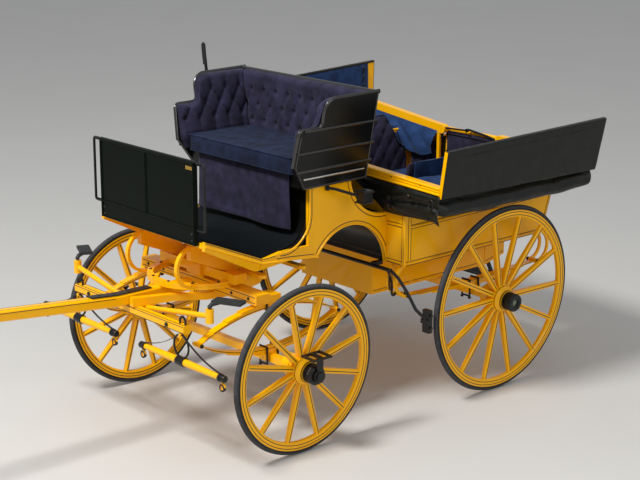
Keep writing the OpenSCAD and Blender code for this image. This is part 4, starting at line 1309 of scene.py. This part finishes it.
for w in (0.245, 0.190, 0.135):
    latch.append(rod([on_board(-0.004, 1.130, w), on_board(-0.014, 1.130, w + 0.004),
                      on_board(-0.018, 1.130, w + 0.020), on_board(-0.008, 1.130, w + 0.030)], 0.0045,
                     backward))
    latch.append(moved(hex_nut((0, 0, 0), (-1, 0, 0), 0.018, 0.008),
                       board_place @ Matrix.Translation((-0.003, 1.130, w - 0.006))))
pillar_rails, pillar_irons = [], []
for y, faces_out, reach in ((0.815, -1, 0.884), (2.026, 1, 0.924)):
    face = front_axle_y + y
    for share, r in ((0.70, 0.0065), (0.0, 0.0045), (-0.70, 0.0065)):
        pillar_rails.append(bead([(0.264, face, hinge_z + 0.026 * share),
                                  (reach, face, 1.286 + 0.022 * share)], r, (0, faces_out, 0)))
    pillar_irons.append(stud((hinge_x, face - 0.003 * faces_out, hinge_z), (0, faces_out, 0), 0.016, 0.008))
    for x in (0.30, 0.52, 0.74):
        pillar_irons.append(stud((x, face, 1.322 - 0.046 * (x - hinge_x)), (0, faces_out, 0), 0.004, 0.0035))
# Hood irons folded over each front corner, with their joint nuts and a strap ring.
corner_irons = []
iron_y = front_axle_y + 0.783
corner_irons.append(rod([(0.470, iron_y, 1.180), (0.620, iron_y - 0.004, 1.150), (0.840, iron_y, 1.142)],
                        0.0065, backward))
corner_irons.append(rod([(0.545, iron_y, 1.205), (0.700, iron_y - 0.003, 1.236), (0.850, iron_y, 1.232)],
                        0.0055, backward))
for x, z in ((0.547, 1.200), (0.547, 1.157), (0.695, 1.235)):
    corner_irons.append(moved(hex_nut((0, 0, 0), forward, 0.024, 0.016),
                              Matrix.Translation((x, iron_y - 0.002, z))))
ring_run = [(0.856 + 0.019 * math.cos(k * math.pi / 10), iron_y - 0.006,
             1.222 + 0.024 * math.sin(k * math.pi / 10)) for k in range(20)]
corner_irons.append(rod(ring_run, 0.0042, backward, closed=True))
for side_name, place in hood_place.items():
    body = f"hood_{side_name}"
    dress(body, yellow_enamel, 0.002)
    cover = piece(f"hood_cover_{side_name}",
                  moved((cover_verts, grid_faces(len(cover_path) - 1, cover_cols)), place), hood_leather,
                  body, sharp=60)
    hide = cover.modifiers.new("hide", "SOLIDIFY")
    hide.thickness = 0.0012
    hide.offset = 0.0
    piece(f"hood_cover_trim_{side_name}", moved(join(board_trim), place), hood_leather, body)
    lined = piece(f"hood_board_lining_{side_name}",
                  moved((lined_verts, grid_faces(lining_rows, lining_cols)), place), blue_wool, body,
                  sharp=60)
    piece(f"hood_pillar_mouldings_{side_name}", moved(join(pillar_rails), place), yellow_enamel, body)
    piece(f"hood_pillar_bolts_{side_name}", moved(join(pillar_irons), place), black_iron, body)
    piece(f"hood_corner_irons_{side_name}", moved(join(corner_irons), place), black_iron, body)
    piece(f"hood_catches_{side_name}", moved(join(latch), place), black_iron, body)

# ---- Folded hood leather and its lining ----
# The hood's side leather is nailed to the body rail below and the roof board above. Folded, it
# rolls out under the board in one long fold with creases; its ends hang in a flap over each
# front corner. The blue lining hangs inside in the same way, from the board to the bench back.


def soft_crease(y, t, seed):
    """Uneven folds along the leather, in metres."""
    broad = 0.010 * noise.noise(Vector((y * 3.1, t * 2.5, seed)))
    fine = 0.005 * noise.noise(Vector((y * 9.0, t * 5.0, seed + 3)))
    return broad + fine + 0.003 * math.sin(y * 21 + t * 6 + seed)


fold_cols, fold_path = 150, []
# Across the carriage, as (x, z): from the rail, out along the underside, round the roll, to the board.
fold_knots = [(0.6035, 1.246), (0.625, 1.205), (0.700, 1.168), (0.790, 1.148), (0.862, 1.142), (0.900, 1.152),
              (0.912, 1.176), (0.902, 1.203), (0.882, 1.218), (0.872, 1.232), (0.8945, 1.250)]
for k in range(len(fold_knots) - 1):
    p0 = Vector(fold_knots[max(0, k - 1)])
    p1, p2 = Vector(fold_knots[k]), Vector(fold_knots[k + 1])
    p3 = Vector(fold_knots[min(len(fold_knots) - 1, k + 2)])
    for s in range(5):
        t = s / 5
        point = 0.5 * ((2 * p1) + (p2 - p0) * t + (2 * p0 - 5 * p1 + 4 * p2 - p3) * t * t
                       + (3 * p1 - p0 - 3 * p2 + p3) * t ** 3)
        fold_path.append((point.x, point.y))
fold_path.append(fold_knots[-1])
fold_start, fold_end = 0.812, 2.075
fold_verts = []
for k, (x, z) in enumerate(fold_path):
    t = k / (len(fold_path) - 1)
    free = math.sin(math.pi * t) ** 0.7
    for i in range(fold_cols + 1):
        s = i / fold_cols
        y = fold_start + (fold_end - fold_start) * s
        crease = soft_crease(y, t, 2.0) * free
        belly = 0.016 * free * math.sin(math.pi * s) - 0.012 * free * (1 - s)
        tuck = 0.030 * max(0.0, 1 - s / 0.03) * free + 0.050 * max(0.0, (s - 0.95) / 0.05) ** 2 * free
        fold_verts.append((x + crease * 0.8 - tuck * (1 if x > 0.75 else 0.2), front_axle_y + y,
                           z + crease - 0.4 * belly * (1 if t < 0.7 else 0.2) + 0.6 * tuck))
fold_faces = grid_faces(len(fold_path) - 1, fold_cols)

flap_cols, flap_rows = 60, 26
flap_verts = []
for j in range(flap_rows + 1):
    t = j / flap_rows
    for i in range(flap_cols + 1):
        s = i / flap_cols
        x = 0.248 + (0.885 - 0.248) * s
        top = 1.284 - 0.026 * s
        drop = 0.046 + 0.121 * min(1.0, s / 0.36) - 0.030 * max(0.0, s - 0.45) / 0.55
        if s > 0.93:
            drop += 0.020 * (s - 0.93) / 0.07
        fold = 0.011 * math.sin(t * 9.5 + 1.2 * s) * math.sin(math.pi * min(1.0, t + 0.12))
        fold += 0.006 * noise.noise(Vector((x * 9, t * 3, 5.0)))
        out = 0.018 + 0.018 * math.sin(math.pi * t * 0.92) + fold
        flap_verts.append((x + 0.004 * noise.noise(Vector((x * 8, t * 4, 9.0))),
                           wall_y - 0.004 - out, top - drop * t))
flap_faces = grid_faces(flap_rows, flap_cols)

drape_cols, drape_rows = 110, 40
drape_verts = []
for j in range(drape_rows + 1):
    t = j / drape_rows
    for i in range(drape_cols + 1):
        y = 0.900 + 1.120 * i / drape_cols
        pad_top = 0.968 + bench_back_top(y)
        tall = (pad_top - 1.168) / 0.215
        # From the board's foot, in over the body rail, then up or down to the top of the bench back.
        run = [(0.862 + 0.030 * (y - 0.900), 1.264), (0.660, 1.286), (0.588 + 0.018 * tall, 1.294),
               (0.558 + 0.056 * tall, pad_top + 0.006), (0.520 + 0.056 * tall, pad_top - 0.002)]
        share = 4 * t
        leg = min(3, int(share))
        share -= leg
        (x0, z0), (x1, z1) = run[leg], run[leg + 1]
        sag = math.sin(math.pi * min(1.0, 2 * t))
        fold = 0.012 * math.sin(y * 14 + 3.0 * t) * sag + 0.006 * noise.noise(Vector((y * 6, t * 4, 12.0)))
        drape_verts.append((x0 + (x1 - x0) * share, front_axle_y + y,
                            z0 + (z1 - z0) * share + 0.010 * sag + fold))
drape_faces = grid_faces(drape_rows, drape_cols)

# End curtain: hangs from the rear pillar in loose swags, inside the rear panel.
curtain_cols, curtain_rows = 90, 44
curtain_verts = []
for j in range(curtain_rows + 1):
    t = j / curtain_rows
    for i in range(curtain_cols + 1):
        s = i / curtain_cols
        x = 0.262 + 0.610 * s
        head = 1.298 - 0.030 * s
        drop = 0.150 + 0.050 * math.sin(math.pi * min(1.0, s * 1.6)) - 0.045 * s
        # Folds run down from the hinge and fan out towards the roof board.
        fan = 0.022 * math.sin(9.0 * s + 7.0 * t * (0.4 + s)) * t ** 0.6
        fan += 0.014 * noise.noise(Vector((s * 5, t * 3, 21.0))) * t
        curtain_verts.append((x, front_axle_y + 1.974 - 0.016 * math.sin(math.pi * t) - abs(fan) - 0.012 * t,
                              head - drop * t + 0.3 * fan))
curtain_faces = grid_faces(curtain_rows, curtain_cols)


def eased(verts, side_name, start=0.62, end=0.89):
    """Carries a left side's soft sheet to its own side, and to where that hood half really rests."""
    flip = mirror_x if side_name == "right" else Matrix.Identity(4)
    raised = right_rest if side_name == "right" else 0.0
    out = []
    for v in verts:
        share = min(1.0, max(0.0, (v[0] - start) / (end - start)))
        share = share * share * (3 - 2 * share)
        spun = (Matrix.Translation(hood_hinge) @ Matrix.Rotation(-raised * share, 4, "Y")
                @ Matrix.Translation(-hood_hinge))
        out.append(tuple(flip @ (spun @ Vector(v))))
    return out


for side_name, way in (("left", 1), ("right", -1)):
    body = f"hood_{side_name}"
    faces_in = fold_faces if side_name == "left" else [f[::-1] for f in fold_faces]
    fold = piece(f"folded_side_leather_{side_name}", (eased(fold_verts, side_name), faces_in), hood_leather,
                 None, sharp=80)
    hide = fold.modifiers.new("hide", "SOLIDIFY")
    hide.thickness = 0.0025
    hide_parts(f"folded_leather_{side_name}")
    flap = piece(f"hood_corner_flap_{side_name}", (eased(flap_verts, side_name), flap_faces), hood_leather,
                 None, sharp=80)
    hide = flap.modifiers.new("hide", "SOLIDIFY")
    hide.thickness = 0.0025
    drape = piece(f"hood_lining_{side_name}", (eased(drape_verts, side_name), drape_faces), blue_wool, None,
                  sharp=80)
    ply = drape.modifiers.new("cloth", "SOLIDIFY")
    ply.thickness = 0.0015
    curtain = piece(f"hood_end_curtain_{side_name}",
                    (eased(curtain_verts, side_name, 0.24, 0.26), curtain_faces), blue_wool, None,
                    sharp=80)
    ply = curtain.modifiers.new("cloth", "SOLIDIFY")
    ply.thickness = 0.0015
    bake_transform(curtain)
    for sheet_piece in (fold, flap, drape):
        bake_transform(sheet_piece)

# ---- Rear door ----
# A panelled door in the middle of the back, hung on two black hinges at its left edge, with a
# rounded yellow top rail and a black lever handle; its inner face has a padded cloth panel.

dress("rear_door", yellow_enamel, 0.003)
door_face = front_axle_y + 2.060
door_lines, door_beads, door_irons = [], [], []
for low, high in (((-0.196, 0.720), (0.196, 1.010)), ((-0.196, 1.060), (0.196, 1.262))):
    ring = [(low[0], door_face, low[1]), (high[0], door_face, low[1]), (high[0], door_face, high[1]),
            (low[0], door_face, high[1])]
    door_beads.append(bead(ring, 0.0055, backward, closed=True))
    inset = [(x * 0.93, y + 0.0002, z + (0.014 if z == low[1] else -0.014)) for x, y, z in ring]
    door_lines.append(drawn_line(inset, 0.003, backward, closed=True))
door_top = [(x, door_face - 0.013, 1.311) for x in (-0.240, 0.240)]
door_beads.append(sweep(door_top, [(-0.017, -0.002), (-0.015, 0.006), (-0.008, 0.0105), (0.0, 0.012),
                                   (0.008, 0.0105), (0.015, 0.006), (0.017, -0.002)], up=upward))
piece("door_mouldings", join(door_beads), yellow_enamel, "rear_door")
piece("door_lining", join(door_lines), lining, "rear_door")
for z in (0.760, 1.180):
    door_irons.append(sweep([(0.244, door_face + 0.004, z), (0.110, door_face + 0.004, z)],
                            [(-0.016, -0.003), (0.016, -0.003), (0.016, 0.002), (-0.016, 0.002)],
                            up=backward))
    for x in (0.135, 0.180, 0.222):
        door_irons.append(stud((x, door_face + 0.005, z), backward, 0.006, 0.003))
door_irons.append(revolve([(-0.002, 0.024), (0.004, 0.022), (0.006, 0.008), (0.028, 0.007), (0.028, 0.001)],
                          20))
door_irons[-1] = moved(door_irons[-1], Matrix.Translation((-0.190, door_face, 1.035))
                       @ Matrix.Rotation(math.radians(90), 4, "Z"))
door_irons.append(rod([(-0.190, door_face + 0.026, 1.035), (-0.150, door_face + 0.030, 1.037),
                       (-0.110, door_face + 0.028, 1.030)], 0.0065, backward))
piece("door_ironwork", join(door_irons), black_iron, "rear_door")
inner_face = door_face - 0.026


def on_door(x, h, out):
    """A place on the door's inner face, h up from the foot of its panel."""
    return (x, inner_face - out, 0.800 + h)


door_pad = []
pad_cols, pad_rows = 40, 44
for j in range(pad_rows + 1):
    for i in range(pad_cols + 1):
        s, t = i / pad_cols, j / pad_rows
        edge = min(1.0, min(s, 1 - s) * 0.44 / 0.03, min(t, 1 - t) * 0.50 / 0.03)
        door_pad.append(on_door(-0.234 + 0.468 * s, 0.502 * t,
                                0.0006 + 0.012 * math.sqrt(max(0.0, 1 - (1 - edge) ** 2))))
inside_pad = piece("door_inside_panel", (door_pad, grid_faces(pad_rows, pad_cols)), broadcloth, "rear_door",
                   sharp=60)
door_strips = []
for h in (0.02, 0.200, 0.230, 0.345, 0.375, 0.482):
    door_strips.append(bead([on_door(-0.225, h, 0.012), on_door(0.225, h, 0.012)], 0.005, forward))
piece("door_inside_mouldings", join(door_strips), black_enamel, "rear_door")

# ---- Door opening ----
# Thin yellow posts edge the opening inside; a jointed black stay lies across the back above the door.
posts = []
for way in (-1, 1):
    posts.append(sweep([(way * 0.262, front_axle_y + 1.985, z) for z in (1.000, 1.288)],
                       [(-0.011, -0.006), (0.011, -0.006), (0.011, 0.004), (0.008, 0.007), (-0.008, 0.007),
                        (-0.011, 0.004)], up=forward))
    posts.append(sweep([(x, front_axle_y + 2.049, 1.262) for x in (way * 0.258, way * 0.596)],
                       [(-0.014, -0.002), (-0.012, 0.005), (0.0, 0.009), (0.012, 0.005), (0.014, -0.002)],
                       up=upward))
piece("door_posts", join(posts), yellow_enamel, "carriage")
# Thin black boards on the door posts' faces towards the opening: painted shade, standing in for the dark
# inside the door opening.
jamb_shade_boards = []
for way in (-1, 1):
    jamb_shade_boards.append(sweep([(way * 0.2490, front_axle_y + 2.028, z) for z in (0.900, 1.2635)],
                         [(-0.0010, -0.030), (0.0010, -0.030), (0.0010, 0.030), (-0.0010, 0.030)],
                         up=backward))
piece("door_jamb_painted_shade", join(jamb_shade_boards), black_enamel, "carriage")
stay_y = front_axle_y + 2.000
stay = [rod([(-0.244, stay_y, 1.300), (-0.235, stay_y, 1.322), (-0.027, stay_y, 1.331)], 0.0062, backward),
        rod([(-0.035, stay_y + 0.012, 1.336), (0.120, stay_y + 0.012, 1.318),
             (0.196, stay_y + 0.006, 1.306), (0.240, stay_y + 0.002, 1.290)], 0.0072, backward),
        stud((-0.031, stay_y - 0.008, 1.333), backward, 0.012, 0.030)]
for way in (-1, 1):
    stay.append(rod([(way * 0.246, stay_y, 1.255), (way * 0.246, stay_y, 1.304)], 0.009, backward))
piece("hood_stay", join(stay), black_iron, "carriage")

# ---- Brake ----
# A hand lever on the driver's right works a cross shaft; its cranks push wooden shoes on the rear tyres.
dress("brake_gear", black_iron, 0.0015)
brake_bits, grip = [], []
grip_run = [(-0.596, front_axle_y + 0.4052, 1.948), (-0.5945, front_axle_y + 0.409, 1.888),
            (-0.5925, front_axle_y + 0.414, 1.835)]
grip.append(rod(grip_run, 0.0128, backward))
for way in (-1, 1):
    shoe_x = way * 0.756
    for z in (0.500, 0.570):
        brake_bits.append(hex_nut((shoe_x + way * 0.026, front_axle_y + 0.875, z), (way, 0, 0), 0.018, 0.009))
    brake_bits.append(sweep([(shoe_x - way * 0.030, front_axle_y + 0.858, 0.535),
                             (shoe_x + way * 0.030, front_axle_y + 0.858, 0.535)],
                            [(-0.012, -0.004), (0.012, -0.004), (0.012, 0.006), (-0.012, 0.006)],
                            up=forward))
    for x, y, z in ((0.560, 0.785, 0.795), (0.640, 0.832, 0.680)):
        brake_bits.append(hex_nut((way * x, front_axle_y + y - 0.009, z), forward, 0.020, 0.010))
    # Return spring of coiled wire and the drag-chain hooks that hang beside it.
    coil = [(way * 0.528 + 0.011 * math.cos(k * 0.9), front_axle_y + 0.815 + 0.011 * math.sin(k * 0.9),
             0.765 - 0.0016 * k) for k in range(60)]
    brake_bits.append(rod(coil, 0.003, upward))
    for dx, y0, z0 in ((0.000, 0.822, 0.660), (-0.030, 0.850, 0.640)):
        hook_x, hook_y = way * (0.530 + dx), front_axle_y + y0
        hook = [(hook_x, hook_y, z0 + 0.050), (hook_x, hook_y, z0)]
        for k in range(9):
            a = math.pi * k / 8
            hook.append((hook_x, hook_y + 0.016 - 0.016 * math.cos(a), z0 - 0.016 * math.sin(a)))
        hook.append((hook_x, hook_y + 0.034, z0 + 0.020))
        brake_bits.append(rod(hook, 0.0055, leftward))
    pull_rod = []
    for x, y, z in ((0.527, 0.785, 0.788), (0.530, 0.800, 0.766), (0.528, 0.822, 0.712),
                    (0.500, 0.850, 0.688)):
        pull_rod.append((way * x, front_axle_y + y, z))
    brake_bits.append(rod(pull_rod, 0.005, leftward))
piece("brake_fittings", join(brake_bits), black_iron, "carriage")
piece("brake_lever_grip", join(grip), black_strap, "carriage")

# ---- Lamp sockets and rear step ----
# Square forged lamp sockets with two raised collars; a two-hanger step below the door with a ribbed tread.
dress("lamp_brackets", black_iron, 0.002)
dress("rear_step", black_iron, 0.002)
collars = []
for way in (-1, 1):
    for z in (1.226, 1.284):
        ring = []
        for a, b in ((-1, -1), (1, -1), (1, 1), (-1, 1)):
            ring.append((way * 0.600 + a * 0.030, front_axle_y + 0.543 + b * 0.034, z))
        collars.append(rod(ring, 0.005, upward, closed=True))
    collars.append(hex_nut((way * 0.463, front_axle_y + 0.400, 1.300), (way, 0, 0), 0.026, 0.010))
piece("lamp_socket_collars", join(collars), black_iron, "carriage")
tread_bars = []
for k in range(9):
    y = front_axle_y + 2.090 + 0.011 * k
    tread_bars.append(sweep([(-0.165, y, 0.4135), (0.165, y, 0.4135)], half_round(0.003, 3), up=upward))
piece("rear_step_tread", join(tread_bars), tread_rubber, "carriage")

# ---- Studio ----
# A pale seamless floor under one large soft key from ahead, a weaker fill and a bright surround.

pale_floor = finish("pale_studio_floor", "C6C4BF", 0.85)
mottle(pale_floor, 1.2, "C3C1BC", "C9C7C2", "Base Color")
floor_mesh = bpy.data.meshes.new("studio_floor")
floor_mesh.from_pydata([(-40, -40, 0), (40, -40, 0), (40, 40, 0), (-40, 40, 0)], [], [(0, 1, 2, 3)])
floor_mesh.materials.append(pale_floor)
studio_floor = bpy.data.objects.new("studio_floor", floor_mesh)
bpy.context.scene.collection.objects.link(studio_floor)

for name, place, size, power in (("key", (0.5, -5.0, 9.0), 2.2, 1050), ("fill", (7.5, 1.0, 4.0), 4.0, 90)):
    lamp = bpy.data.objects.new(name, bpy.data.lights.new(name, "AREA"))
    lamp.data.shape = "DISK"
    lamp.data.size = size
    lamp.data.energy = power
    lamp.location = place
    lamp.rotation_mode = "QUATERNION"
    lamp.rotation_quaternion = (Vector((0, 1.3, 0.9)) - lamp.location).to_track_quat("-Z", "Y")
    bpy.context.scene.collection.objects.link(lamp)

surround = bpy.data.worlds.new("studio_surround")
surround.use_nodes = True
surround.node_tree.nodes["Background"].inputs["Color"].default_value = (0.92, 0.95, 1.0, 1.0)
surround.node_tree.nodes["Background"].inputs["Strength"].default_value = 0.5
bpy.context.scene.world = surround
bpy.context.scene.view_settings.view_transform = "Standard"
